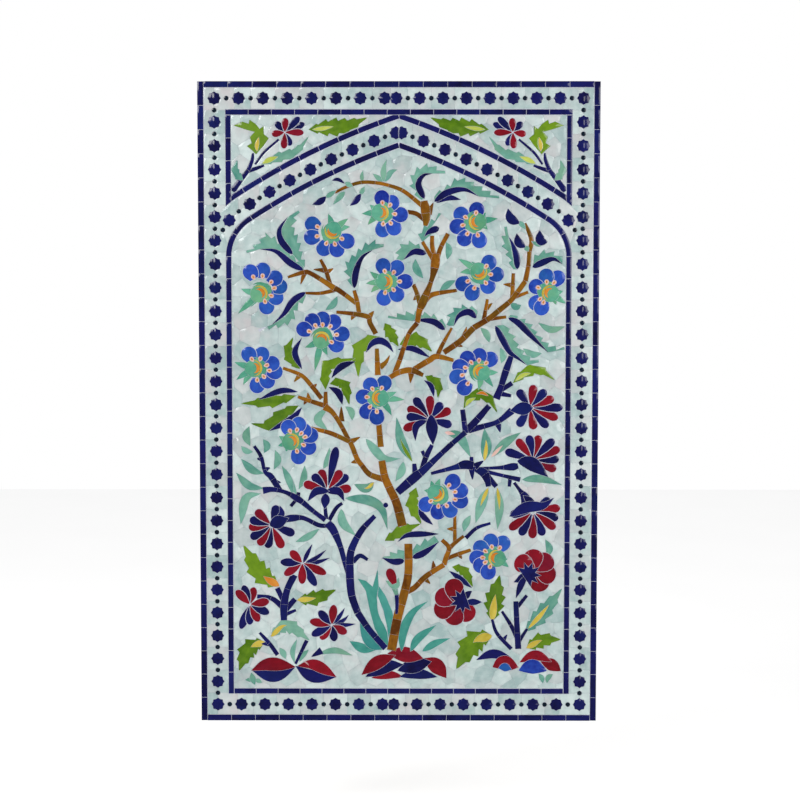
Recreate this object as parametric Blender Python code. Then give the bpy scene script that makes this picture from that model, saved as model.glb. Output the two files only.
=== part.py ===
"""Flowering-tree mosaic wall panel: glazed tiles cut to outline and laid flush on a mortar bed.

The panel hangs flat: its back is the plane y = 0, its face looks along -Y, and the origin is at the
middle of the back. Pieces of one colour that touch are fused, and every pocket follows its piece.
The picture is laid out on the squares of a cartoon, counted right and up from its middle.
"""

import math

import bmesh
import bpy
import numpy as np
from mathutils import Matrix

# Driving dimensions, in metres

PANEL_WIDTH = 1.220
PANEL_HEIGHT = 1.960
BED_THICKNESS = 0.022
TILE_THICKNESS = 0.010
LAYING_GAP = 0.0003
JOINT = 0.0012
POCKET_BACKING = 0.0025

OUTER_BAND = 0.018
STAR_BORDER = 0.066
INNER_BAND = 0.017

HAUNCH_RADIUS = 0.133
HAUNCH_ANGLE = math.radians(33.0)
CROWN_ANGLE = math.radians(19.5)
CROWN_LAP = 0.006

# The cartoon: how many squares the field and a spandrel take up, and the squares at their middles

FIELD_COLUMNS = 338.0
FIELD_ROWS = 550.6
FIELD_MIDDLE = (-0.8, -21.7)
SPANDREL_COLUMNS = 53.0
SPANDREL_ROWS = 48.0
SPANDREL_FLOWER = (-115.0, 268.0)

# Where a spandrel's flower lies: shares of the field's half width and of the clear height below the band

SPANDREL_FLOWER_REACH = 0.679
SPANDREL_FLOWER_DROP = 0.365

# The squares were counted on a view with a slight bow and tilt, for each square from its middle

VIEW_BOW = 1.8e-7
VIEW_TILT = 3.9e-5

# How finely round stretches are cut

ARCH_STEPS = 5
RIBBON_STEPS = 2
PETAL_STEPS = 2

# Finishes: colour, roughness

CEMENT = ((0.52, 0.49, 0.44), 0.90)
NAVY = ((0.012, 0.014, 0.115), 0.25)
WHITE = ((0.66, 0.72, 0.68), 0.30)
OCHRE = ((0.26, 0.105, 0.012), 0.30)
COBALT = ((0.03, 0.11, 0.52), 0.25)
RED = ((0.22, 0.008, 0.015), 0.30)
AQUA = ((0.11, 0.35, 0.27), 0.30)
GREEN = ((0.14, 0.28, 0.02), 0.30)

# Blue fan flowers: heart, way it opens in degrees, petals, reach

FAN_FLOWERS = {
    "fan_flower_top": (-16, 189, 2, 5, 17.5),
    "fan_flower_shoulder_left": (-69, 168, 244, 5, 19.5),
    "fan_flower_far_left": (-139, 109, 25, 6, 18),
    "fan_flower_middle_left": (-12, 120, 2, 5, 17.5),
    "fan_flower_shoulder_right": (75, 179, 183, 5, 17.5),
    "fan_flower_middle_right": (82, 127, -49, 5, 17),
    "fan_flower_far_right": (149, 109, 153, 5, 16),
    "fan_flower_branch_left": (-78, 64, 64, 6, 19),
    "fan_flower_waist_left": (-144, 32, 15, 6, 17),
    "fan_flower_trunk": (-23, 2, 167, 5, 16),
    "fan_flower_waist_right": (80, 30, 137, 6, 19),
    "fan_flower_low_left": (-107, -41, 20, 6, 17),
    "fan_flower_low_right": (40, -97, -50, 6, 20),
    "fan_flower_foot_right": (95, -159, 153, 6, 17),
}

# Carnations of red and navy petals: base, way it opens, petals, reach, spread in degrees

CARNATIONS = {
    "carnation_middle": (31, -20, 92, 8, 24, 215),
    "carnation_right": (132, -7, 2, 9, 27, 246),
    "carnation_right_upper": (135, -59, 69, 8, 26, 194),
    "carnation_right_lower": (135, -115, 292, 9, 26, 219),
    "carnation_left": (-73, -90, 84, 7, 24, 168),
    "carnation_far_left": (-129, -127, 207, 9, 23, 263),
}

# Open flowers of eight and of five petals: centre, turn in degrees, petals, reach, waist as a share

OPEN_FLOWERS = {
    "star_flower_left": (-98, -165, 0, 8, 22, 0.42),
    "star_flower_far_left": (-148, -206, 22.5, 8, 17.5, 0.42),
    "star_flower_low": (-68, -227, 42, 8, 20, 0.42),
    "rose_centre_right": (58, -205, 100, 5, 18, 0.62),
    "rose_right": (136, -172, 90, 5, 17, 0.62),
}

# Strokes of the tree and the stems: points of column, row and width

TRUNK = {
    "trunk_foot": (
        ((-8, -252, 9), (-2, -220, 9), (5, -195, 8.5), (9, -175, 8), (9, -146, 8)),
        ((7, -195, 6), (25, -180, 5.5), (45, -167, 5), (50, -152, 4.5), (43, -142, 4)),
        ((49, -152, 4.5), (56, -146, 4), (65, -138, 3.5)),
        ((56, -146, 4), (56, -117, 3)),
    ),
    "trunk_middle": (
        ((3, -128, 9), (-3, -105, 8.5), (-15, -78, 7.5), (-18, -62, 7)),
        ((-15, -80, 6), (-38, -67, 5), (-47, -50, 5), (-50, -42, 5)),
        ((-49, -45, 4.5), (-70, -34, 4.5), (-90, -29, 3.5)),
        ((-52, -41, 4.5), (-60, -25, 4.5), (-75, -6, 6), (-75, 8, 4)),
        ((-74, -7, 5), (-86, 6, 4.5), (-100, 25, 4), (-118, 32, 3.5)),
    ),
    "trunk_neck": (((-19, -48, 6), (-21, -25, 5.5)),),
    "crown_limbs": (
        ((-22, 26, 6), (0, 28, 5.5), (12, 30, 6), (30, 40, 6), (45, 48, 5.5)),
        ((-3, 27, 5), (5, 55, 4.5), (18, 80, 5), (25, 100, 5), (32, 120, 5), (36, 143, 4.5)),
        ((44, 47, 5.5), (75, 73, 6), (100, 90, 5.5), (127, 120, 5), (131, 150, 4.5), (126, 178, 4)),
        ((25, 100, 4.5), (58, 111, 3.5)),
        ((113, 103, 4.5), (115, 128, 4)),
    ),
    "left_limb": (
        ((-24, 67, 5), (-31, 83, 5), (-45, 87, 4.5), (-64, 89, 3.5)),
        ((-41, 86, 4.5), (-47, 104, 5), (-65, 113, 6), (-96, 129, 5), (-113, 124, 3)),
        ((-69, 114, 5), (-74, 130, 4), (-80, 142, 3.5)),
    ),
    "crown_spray": (
        ((27, 178, 5), (27, 199, 5)),
        ((28, 191, 5), (5, 210, 4), (-25, 219, 3.5), (-65, 209, 3)),
    ),
}

STEMS = {
    "stem_left": (
        ((-14, -250, 6), (-42, -215, 7), (-50, -180, 7), (-49, -155, 7), (-38, -132, 6), (-25, -118, 6)),
        ((-51, -172, 5), (-60, -148, 5), (-72, -125, 5.5), (-95, -120, 5), (-106, -120, 4.5)),
        ((-76, -122, 4.5), (-88, -112, 4.5), (-104, -100, 4.5), (-135, -91, 4)),
        ((-119, -94, 4), (-130, -77, 4), (-140, -58, 3.5), (-147, -48, 3)),
    ),
    "stem_right": (
        ((-2, -93, 6), (25, -70, 5.5), (40, -57, 5), (66, -33, 5), (90, -6, 5), (112, 45, 4)),
        ((26, -68, 5), (36, -74, 5), (55, -69, 5), (88, -70, 5), (122, -81, 4)),
        ((22, -71, 4.5), (33, -46, 3.5)),
        ((66, -33, 5), (100, -23, 4.5), (111, -13, 3.5)),
        ((86, -69, 4.5), (98, -88, 4)),
    ),
    "stem_foot_left": (
        ((-115, -222, 5.5), (-116, -207, 5), (-111, -186, 4.5)),
        ((-117, -206, 4.5), (-130, -200, 4)),
    ),
    "stem_foot_right": (
        ((119, -250, 6), (118, -230, 5.5), (119, -203, 5)),
        ((118, -236, 5), (103, -215, 4), (93, -223, 3)),
    ),
}

# Broad leaves and the ground's hillocks: spine points of column, row and width

LEAVES = {
    "foot_blade_left": (((-28, -180, 1), (-30, -205, 9), (-20, -232, 10), (-11, -249, 2)),),
    "foot_blade_right": (((-22, -186, 1), (-10, -205, 8), (-4, -230, 7), (-7, -247, 1)),),
    "leaf_foot_left": (((-157, -148, 1), (-142, -168, 17), (-122, -187, 1)),),
    "leaf_foot_right": (((100, -177, 1), (95, -200, 14), (93, -221, 1)),),
    "leaf_low_left": (((-135, -246, 1), (-150, -256, 13), (-160, -270, 1)),),
    "leaf_serrated_right": (((127, -231, 1), (144, -214, 15), (163, -190, 1)),),
}

HILLOCKS = {
    "hillock_far_left": (((-147, -270, 1), (-126, -269, 14), (-105, -268, 1)),),
    "hillock_left": (((-103, -268, 1), (-85, -274, 15), (-65, -279, 2)),),
    "hillock_middle": (((-38, -274, 8), (-10, -266, 18), (16, -266, 20), (46, -275, 8)),),
    "hillock_right": (((78, -258, 1), (96, -263, 17), (116, -268, 1)),),
    "hillock_far_right": (((120, -269, 6), (138, -266, 16), (160, -266, 6)),),
}

# Shares of a fan flower's reach: where its petals' centres lie, their radius, and the calyx's points

FAN_SPREAD = 196.0
FAN_PETAL_ARC = 75.0
FAN_PETAL_RELIEF = 4.0
PETAL_CENTRE = 0.78
PETAL_RADIUS = 0.36
CALYX = ((1.15, 145), (0.42, 165), (1.2, 180), (0.42, 195), (1.15, 215))

# A carnation's petal, as shares of half its step and of the reach, its calyx, and an open petal's tip

CARNATION_PETAL = ((-0.98, 0.55), (-0.42, 1.0), (0.42, 1.0))
CARNATION_CALYX = 0.4
OPEN_PETAL_TIP = 0.22

# The spandrels' ornament, on squares of the left corner; the right one mirrors it

SPANDREL_ORNAMENT = (
    ("flower", RED, "open", (*SPANDREL_FLOWER, 45, 8, 17, 0.42)),
    ("acanthus", GREEN, "ribbon", (((-165, 275, 1), (-146, 272, 22), (-131, 263, 12), (-143, 246, 2)),)),
    ("long_leaf", GREEN, "ribbon", (((-89, 268, 2), (-72, 276, 14), (-52, 281, 8), (-35, 283, 1)),)),
)

# Stands a drawing up in the panel's plane, with whole numbers so that equal depths stay equal

UPRIGHT = Matrix(((1, 0, 0, 0), (0, 0, -1, 0), (0, 1, 0, 0), (0, 0, 0, 1)))

# Places worked out from the sizes

HALF_WIDTH = PANEL_WIDTH / 2
HALF_HEIGHT = PANEL_HEIGHT / 2
TILE_BACK = -(BED_THICKNESS + LAYING_GAP)
TILE_FACE = TILE_BACK - TILE_THICKNESS
POCKET_FLOOR = TILE_BACK - POCKET_BACKING
INLAY_BACK = POCKET_FLOOR - LAYING_GAP
CUTTER_FACE = TILE_FACE - TILE_THICKNESS

BAND_INNER_X = HALF_WIDTH - OUTER_BAND
BAND_INNER_Z = HALF_HEIGHT - OUTER_BAND
BORDER_INNER_X = BAND_INNER_X - STAR_BORDER
BORDER_INNER_Z = BAND_INNER_Z - STAR_BORDER
FIELD_HALF_WIDTH = BORDER_INNER_X - INNER_BAND
FIELD_FOOT = -(BORDER_INNER_Z - INNER_BAND)
SPANDREL_TOP = BORDER_INNER_Z - INNER_BAND
ARCH_DEPTH = STAR_BORDER + INNER_BAND


class PointedArch:
    """A four-centred arch: a small haunch arc that turns from upright, then a wide crown arc."""

    def __init__(self, half_span, haunch_radius, haunch_angle, crown_angle):
        """Solves the crown's radius, so that the two arcs meet smoothly and reach the middle."""
        self.haunch_radius = haunch_radius
        self.haunch_angle = haunch_angle
        haunch_run = haunch_radius * (1 - math.sin(haunch_angle))
        run_share = math.sin(haunch_angle) - math.sin(crown_angle)
        self.crown_radius = (half_span - haunch_run) / run_share
        self.haunch_centre = (-half_span + haunch_radius, 0.0)
        reach = self.crown_radius - haunch_radius
        self.crown_centre = (
            self.haunch_centre[0] + reach * math.sin(haunch_angle),
            -reach * math.cos(haunch_angle),
        )

    def crown_height(self, offset, x=0.0):
        """Height of the crown arc above the springing, at x left of the middle, pushed out by offset."""
        radius = self.crown_radius + offset
        return self.crown_centre[1] + math.sqrt(radius**2 - (x - self.crown_centre[0]) ** 2)

    def left_half(self, offset, start_angle):
        """Points from the haunch at start_angle above level up to the middle, pushed out by offset."""
        centre_x, centre_z = self.haunch_centre
        turn_end = math.pi / 2 - self.haunch_angle
        haunch = [
            (
                centre_x - (self.haunch_radius + offset) * math.cos(turn),
                centre_z + (self.haunch_radius + offset) * math.sin(turn),
            )
            for turn in np.linspace(start_angle, turn_end, ARCH_STEPS)
        ]
        first_x = haunch[-1][0]
        crown = [(x, self.crown_height(offset, x)) for x in np.linspace(first_x, 0.0, ARCH_STEPS + 1)[1:]]
        return haunch + crown


ARCH = PointedArch(FIELD_HALF_WIDTH, HAUNCH_RADIUS - INNER_BAND / 2, HAUNCH_ANGLE, CROWN_ANGLE)
CROWN_TOP = SPANDREL_TOP + CROWN_LAP
SPRINGING = CROWN_TOP - ARCH.crown_height(ARCH_DEPTH + INNER_BAND)


def arch_line(offset, start_angle=0.0):
    """The whole arch from left to right, pushed out from the field's edge by offset, on the panel."""
    left = [(x, z + SPRINGING) for x, z in ARCH.left_half(offset, start_angle)]
    return left + [(-x, z) for x, z in reversed(left[:-1])]


def field_outline(offset):
    """The field's outline, pushed out by offset: upright sides, a level foot and the arch above."""
    side = FIELD_HALF_WIDTH + offset
    foot = FIELD_FOOT - offset
    return [(side, foot), (-side, foot)] + arch_line(offset)


def haunch_angle_at(offset, x):
    """Angle above level at which the arch, pushed out by offset, stands at x left of the middle."""
    run = (ARCH.haunch_centre[0] - x) / (ARCH.haunch_radius + offset)
    return math.acos(min(1.0, run))


def spandrel_frame_outline(grow):
    """The edge round both spandrels' frame: level on top, upright at the sides, the arch below."""
    side = BORDER_INNER_X + grow
    offset = STAR_BORDER + INNER_BAND - grow
    return [(side, BORDER_INNER_Z + grow), (-side, BORDER_INNER_Z + grow)] + arch_line(
        offset, haunch_angle_at(offset, -side)
    )


def spandrel_outline(shrink):
    """The left spandrel inside its frame, drawn in by shrink."""
    side = FIELD_HALF_WIDTH - shrink
    top = SPANDREL_TOP - shrink
    offset = ARCH_DEPTH + INNER_BAND + shrink
    arch = arch_line(offset, haunch_angle_at(offset, -side))
    below = [point for point in arch if point[0] < 0 and point[1] < top]
    last_x, last_z = below[-1]
    slope = math.tan(CROWN_ANGLE)
    corner = (last_x + (top - last_z) / slope, top)
    if corner[0] > last_x + JOINT:
        below.append(corner)
    return [(-side, top)] + below


def rectangle(half_x, half_z):
    """A rectangle about the origin."""
    return [(-half_x, -half_z), (half_x, -half_z), (half_x, half_z), (-half_x, half_z)]


# Outlines of the picture, in squares

def smooth(points, steps):
    """A Catmull-Rom curve through the points, each stretch cut in steps."""
    knots = np.asarray(points, dtype=float)
    if len(knots) < 3:
        return knots
    padded = np.vstack([2 * knots[0] - knots[1], knots, 2 * knots[-1] - knots[-2]])
    shares = np.arange(steps)[:, None] / steps
    runs = []
    for before, start, end, after in zip(padded, padded[1:], padded[2:], padded[3:]):
        runs.append(
            start
            + shares * (end - before) / 2
            + shares**2 * (before - 2.5 * start + 2 * end - after / 2)
            + shares**3 * (1.5 * (start - end) + (after - before) / 2)
        )
    return np.vstack(runs + [knots[-1:]])


def ribbon_outline(points):
    """A stroke of varying width: the smoothed line set off by half its width to both sides."""
    line = smooth(points, RIBBON_STEPS)
    along = np.gradient(line[:, :2], axis=0)
    along /= np.linalg.norm(along, axis=1)[:, None]
    across = np.column_stack([-along[:, 1], along[:, 0]]) * line[:, 2:3] / 2
    return np.vstack([line[:, :2] - across, (line[:, :2] + across)[::-1]])


def polar(centre, reach, angles):
    """Points at the given reach and angles in degrees round a centre."""
    turn = np.radians(angles)
    return np.column_stack([centre[0] + reach * np.cos(turn), centre[1] + reach * np.sin(turn)])


def fan_outline(column, row, facing, petals, reach):
    """Round petals over the fan, each cut short of its neighbour, and a three-spiked calyx behind."""
    angles = np.linspace(-FAN_SPREAD / 2, FAN_SPREAD / 2, petals)
    half_step = math.radians(angles[1] - angles[0]) / 2
    meeting = half_step + math.asin(min(1.0, PETAL_CENTRE * math.sin(half_step) / PETAL_RADIUS))
    half_arc = min(FAN_PETAL_ARC, math.degrees(meeting) - FAN_PETAL_RELIEF)
    points = []
    for angle in angles:
        centre = polar((column, row), PETAL_CENTRE * reach, [facing + angle])[0]
        arc = facing + angle + np.linspace(-half_arc, half_arc, PETAL_STEPS + 1)
        points.append(polar(centre, PETAL_RADIUS * reach, arc))
    for share, angle in CALYX:
        points.append(polar((column, row), share * reach, [facing + angle]))
    return np.vstack(points)


def carnation_outline(column, row, facing, petals, reach, spread):
    """Long petals with blunt tips over the spread, and a short calyx behind."""
    half_step = spread / (petals - 1) / 2
    points = []
    for angle in np.linspace(-spread / 2, spread / 2, petals):
        for side, share in CARNATION_PETAL:
            points.append(polar((column, row), share * reach, [facing + angle + side * half_step]))
    calyx = [facing + spread / 2 + half_step, facing + 180]
    points.append(polar((column, row), CARNATION_CALYX * reach, calyx))
    return np.vstack(points)


def open_flower_outline(column, row, turn, petals, reach, waist):
    """Petals all round: a notch at the waist, then a blunt tip."""
    step = 360 / petals
    points = []
    for index in range(petals):
        middle = turn + index * step
        tip = OPEN_PETAL_TIP * step
        points.append(polar((column, row), waist * reach, [middle - step / 2]))
        points.append(polar((column, row), reach, [middle - tip, middle + tip]))
    return np.vstack(points)


OUTLINES = {
    "fan": lambda row: [fan_outline(*row)],
    "carnation": lambda row: [carnation_outline(*row)],
    "open": lambda row: [open_flower_outline(*row)],
    "ribbon": lambda rows: [ribbon_outline(points) for points in rows],
}


def straightened(squares):
    """Squares with the bow and the tilt of the view they were counted on taken out."""
    bow = 1 + VIEW_BOW * np.sum(squares**2, axis=-1, keepdims=True)
    tilt = 1 + VIEW_TILT * squares[..., 1:]
    return squares * bow / tilt


def counter_clockwise(outline):
    """The outline run counter-clockwise."""
    x, z = outline[:, 0], outline[:, 1]
    area = np.sum(x * np.roll(z, -1) - z * np.roll(x, -1))
    return outline if area > 0 else outline[::-1]


def grown(outline, distance):
    """The outline pushed out by a distance: each corner moves along the mean of its two edges' normals."""
    ring = counter_clockwise(np.asarray(outline, dtype=float))
    edge = np.roll(ring, -1, axis=0) - ring
    normal = np.column_stack([edge[:, 1], -edge[:, 0]])
    normal /= np.linalg.norm(normal, axis=1)[:, None]
    before = np.roll(normal, 1, axis=0)
    mean = normal + before
    mitre = np.maximum(np.sum(mean * normal, axis=1), 0.5)[:, None]
    return ring + distance * mean / mitre


# Solids

def new_collection(name, parent, hidden=False):
    """A collection under its parent, left out of renders where it holds cutters."""
    collection = bpy.data.collections.new(name)
    collection.hide_render = hidden
    parent.children.link(collection)
    return collection


def finish_material(name, finish):
    """A plain glazed or cement material."""
    colour, roughness = finish
    material = bpy.data.materials.new(name)
    material.use_nodes = True
    shader = material.node_tree.nodes["Principled BSDF"]
    shader.inputs["Base Color"].default_value = (*colour, 1.0)
    shader.inputs["Roughness"].default_value = roughness
    shader.inputs["Metallic"].default_value = 0.0
    material.diffuse_color = (*colour, 1.0)
    return material


def flat_curve(name, loops, face, back):
    """A flat outline in the panel's plane, extruded from its face to its back; inner loops are holes."""
    curve = bpy.data.curves.new(name, "CURVE")
    curve.dimensions = "2D"
    curve.fill_mode = "BOTH"
    curve.extrude = (back - face) / 2
    for loop in loops:
        spline = curve.splines.new("POLY")
        spline.points.add(len(loop) - 1)
        spline.use_cyclic_u = True
        for point, (x, z) in zip(spline.points, loop):
            point.co = (x, z, 0.0, 1.0)
    return bpy.data.objects.new(name, curve)


def flat_solid(name, loops, face, back, collection):
    """A closed mesh object of the outline between face and back, its caps welded, its faces turned out."""
    outline = flat_curve(name, loops, face, back)
    bpy.context.scene.collection.objects.link(outline)
    bpy.context.view_layer.update()
    graph = bpy.context.evaluated_depsgraph_get()
    mesh = bpy.data.meshes.new_from_object(outline.evaluated_get(graph))
    mesh.transform(Matrix.Translation((0.0, (face + back) / 2, 0.0)) @ UPRIGHT)
    bpy.data.objects.remove(outline)
    shell = bmesh.new()
    shell.from_mesh(mesh)
    bmesh.ops.remove_doubles(shell, verts=shell.verts, dist=1e-6)
    bmesh.ops.dissolve_limit(shell, angle_limit=1e-3, verts=shell.verts, edges=shell.edges)
    bmesh.ops.recalc_face_normals(shell, faces=shell.faces)
    shell.to_mesh(mesh)
    shell.free()
    solid = bpy.data.objects.new(name, mesh)
    collection.objects.link(solid)
    return solid


def as_cutter(solid):
    """Marks a solid as a helper that is left out of the part."""
    solid.hide_render = True
    solid.display_type = "WIRE"
    return solid


def boolean(target, operation, collection):
    """Joins a collection's solids to the target, or cuts them out of it."""
    modifier = target.modifiers.new(f"{operation.lower()}_{collection.name}", "BOOLEAN")
    modifier.operation = operation
    modifier.solver = "EXACT"
    modifier.operand_type = "COLLECTION"
    modifier.collection = collection
    modifier.use_hole_tolerant = False


def merge_flat_faces(target):
    """Merges the coplanar faces that a Boolean leaves."""
    modifier = target.modifiers.new("flat_faces", "DECIMATE")
    modifier.decimate_type = "DISSOLVE"
    modifier.angle_limit = math.radians(0.2)


class Inlay:
    """One node of the picture: its outlines in the panel's frame, its solid and its pocket's cutters."""

    def __init__(self, name, outlines, material, part, cutters):
        """Builds the first outline as the piece, and the rest and the grown ones as helpers."""
        self.name = name
        self.outlines = outlines
        self.solid = flat_solid(name, outlines[:1], TILE_FACE, INLAY_BACK, part)
        self.solid.data.materials.append(material)
        self.joined = new_collection(f"{name}_joined", cutters, hidden=True)
        for index, outline in enumerate(outlines[1:]):
            as_cutter(flat_solid(f"{name}_stroke_{index}", [outline], TILE_FACE, INLAY_BACK, self.joined))
        self.clearance = None

    def make_clearance(self, parent):
        """The pocket's cutters: each outline grown by the joint, from the pocket's floor past the face."""
        self.clearance = new_collection(f"{self.name}_clearance", parent, hidden=True)
        for index, outline in enumerate(self.outlines):
            name = f"{self.name}_pocket_{index}"
            as_cutter(flat_solid(name, [grown(outline, JOINT)], CUTTER_FACE, POCKET_FLOOR, self.clearance))

    def near(self, other):
        """Whether the two pieces' boxes come within a joint of each other."""
        mine, theirs = np.vstack(self.outlines), np.vstack(other.outlines)
        low = np.maximum(mine.min(axis=0), theirs.min(axis=0)) - JOINT
        high = np.minimum(mine.max(axis=0), theirs.max(axis=0)) + JOINT
        return bool(np.all(low < high))


class Cartoon:
    """Places squares on the panel: their size, and the straightened square that lies at an anchor."""

    def __init__(self, square, anchor, middle, mirror=1):
        """Keeps a square's width and height, the anchor in metres, the square there and the side."""
        self.square = np.array(square)
        self.anchor = np.array(anchor)
        self.middle = np.array(middle)
        self.mirror = np.array([mirror, 1])

    def place(self, outline):
        """An outline of squares in metres."""
        placed = (self.anchor + (straightened(outline) - self.middle) * self.square) * self.mirror
        return counter_clockwise(placed)


def field_cartoon():
    """The field's squares, which share out its width and its height."""
    top = SPRINGING + ARCH.crown_height(0.0)
    square = (2 * FIELD_HALF_WIDTH / FIELD_COLUMNS, (top - FIELD_FOOT) / FIELD_ROWS)
    return Cartoon(square, (0.0, (top + FIELD_FOOT) / 2), FIELD_MIDDLE)


def spandrel_cartoon(field, mirror):
    """A spandrel's squares: the field's, or smaller where the room at its flower is less."""
    flower_x = -SPANDREL_FLOWER_REACH * FIELD_HALF_WIDTH
    clear = SPANDREL_TOP - SPRINGING - ARCH.crown_height(ARCH_DEPTH + INNER_BAND, flower_x)
    beside = FIELD_HALF_WIDTH + flower_x
    square = min(*field.square, clear / SPANDREL_ROWS, beside / SPANDREL_COLUMNS)
    flower_z = SPANDREL_TOP - SPANDREL_FLOWER_DROP * clear
    return Cartoon((square, square), (flower_x, flower_z), straightened(np.array(SPANDREL_FLOWER)), mirror)


def field_inlays():
    """Every node of the field in laying order: name, outline family, rows and finish."""
    laid = [(name, "fan", row, COBALT) for name, row in FAN_FLOWERS.items()]
    laid += [(name, "open", row, RED) for name, row in OPEN_FLOWERS.items()]
    laid += [(name, "carnation", row, RED) for name, row in CARNATIONS.items()]
    laid += [(name, "ribbon", rows, OCHRE) for name, rows in TRUNK.items()]
    laid += [(name, "ribbon", rows, NAVY) for name, rows in STEMS.items()]
    laid += [(name, "ribbon", rows, RED) for name, rows in HILLOCKS.items()]
    laid += [(name, "ribbon", rows, AQUA) for name, rows in LEAVES.items()]
    return laid


class Picture:
    """A ground with the pieces laid in it, in laying order."""

    def __init__(self, ground, pieces, cartoon, part, cutters):
        """Makes every piece and its pocket's cutters."""
        self.ground = ground
        self.pockets = new_collection(f"{ground.name}_pockets", cutters, hidden=True)
        self.laid = []
        for name, family, rows, finish in pieces:
            outlines = [cartoon.place(outline) for outline in OUTLINES[family](rows)]
            inlay = Inlay(name, outlines, finish_material(name, finish), part, cutters)
            inlay.make_clearance(self.pockets)
            self.laid.append(inlay)

    def fit(self):
        """Fuses each piece's strokes, cuts it clear of those laid before it, and pockets the ground."""
        for index, inlay in enumerate(self.laid):
            if inlay.joined.objects:
                boolean(inlay.solid, "UNION", inlay.joined)
            for earlier in self.laid[:index]:
                if inlay.near(earlier):
                    boolean(inlay.solid, "DIFFERENCE", earlier.clearance)
            merge_flat_faces(inlay.solid)
        boolean(self.ground, "DIFFERENCE", self.pockets)
        merge_flat_faces(self.ground)


def plate(name, loops, finish, part, face=TILE_FACE, back=TILE_BACK):
    """A flat piece with its own material."""
    solid = flat_solid(name, loops, face, back, part)
    solid.data.materials.append(finish_material(name, finish))
    return solid


def lay_frame(part):
    """The bed, the bands, the border's ground and the frames round the spandrels and the field."""
    plate("mortar_bed", [rectangle(HALF_WIDTH, HALF_HEIGHT)], CEMENT, part, -BED_THICKNESS, 0.0)
    plate(
        "outer_band",
        [rectangle(HALF_WIDTH, HALF_HEIGHT), rectangle(BAND_INNER_X, BAND_INNER_Z)],
        NAVY,
        part,
    )
    plate(
        "border_ground",
        [
            rectangle(BAND_INNER_X - JOINT, BAND_INNER_Z - JOINT),
            spandrel_frame_outline(JOINT),
            field_outline(INNER_BAND + JOINT),
        ],
        WHITE,
        part,
    )
    right_spandrel = [(-x, z) for x, z in spandrel_outline(0.0)]
    plate("spandrel_band", [spandrel_frame_outline(0.0), spandrel_outline(0.0), right_spandrel], NAVY, part)
    plate("field_band", [field_outline(INNER_BAND), field_outline(0.0)], NAVY, part)


def main():
    """Builds the panel from its bed to its picture."""
    for old in list(bpy.data.objects):
        bpy.data.objects.remove(old)
    root = bpy.context.scene.collection
    part = new_collection("mosaic_panel", root)
    cutters = new_collection("cutters", root, hidden=True)
    lay_frame(part)
    field = field_cartoon()
    ground = plate("field_ground", [field_outline(-JOINT)], WHITE, part)
    pictures = [Picture(ground, field_inlays(), field, part, cutters)]
    for side, mirror in (("left", 1), ("right", -1)):
        outline = [(x * mirror, z) for x, z in spandrel_outline(JOINT)]
        ground = plate(f"spandrel_ground_{side}", [outline], WHITE, part)
        ornament = [
            (f"spandrel_{name}_{side}", family, rows, finish)
            for name, finish, family, rows in SPANDREL_ORNAMENT
        ]
        pictures.append(Picture(ground, ornament, spandrel_cartoon(field, mirror), part, cutters))
    for picture in pictures:
        picture.fit()


main()
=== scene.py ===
"""Dresses the mosaic panel: every tile is cut to its outline, glazed and laid with joints on its bed.

The picture is laid out on the squares of a cartoon, as columns and rows counted from its top left corner.
Tiles are laid in order, and one laid later is cut back from those before it. The white ground fills what
is left with its own cut pieces.
"""

import logging
import math
from dataclasses import KW_ONLY, dataclass, field
from enum import Enum
from itertools import chain

import bpy
import numpy as np
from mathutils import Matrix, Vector
from mathutils.geometry import delaunay_2d_cdt


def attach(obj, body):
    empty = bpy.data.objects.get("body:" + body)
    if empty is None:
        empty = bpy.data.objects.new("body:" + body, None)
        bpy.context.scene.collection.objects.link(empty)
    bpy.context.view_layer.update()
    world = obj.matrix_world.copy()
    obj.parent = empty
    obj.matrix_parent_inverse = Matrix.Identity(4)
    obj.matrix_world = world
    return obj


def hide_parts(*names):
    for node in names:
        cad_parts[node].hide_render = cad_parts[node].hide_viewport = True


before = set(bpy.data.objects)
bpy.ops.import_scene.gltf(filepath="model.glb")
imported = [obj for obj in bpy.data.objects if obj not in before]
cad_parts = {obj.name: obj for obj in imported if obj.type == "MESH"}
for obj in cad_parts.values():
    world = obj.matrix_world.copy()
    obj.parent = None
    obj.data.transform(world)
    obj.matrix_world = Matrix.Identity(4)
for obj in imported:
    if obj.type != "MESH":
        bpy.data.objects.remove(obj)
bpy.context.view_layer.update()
TINY = 1e-12

LOG = logging.getLogger("mosaic_panel")
Points = np.ndarray
Colour = tuple[float, float, float]


def srgb(red: int, green: int, blue: int) -> Colour:
    """A colour as the eye reads it, from 0 to 255, as the light that the shader takes.

    Args:
        red: Its red.
        green: Its green.
        blue: Its blue.

    Returns:
        The linear colour.
    """
    return tuple(
        share / 12.92 if share <= 0.04045 else ((share + 0.055) / 1.055) ** 2.4
        for share in (red / 255, green / 255, blue / 255)
    )


# Shader maths


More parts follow.
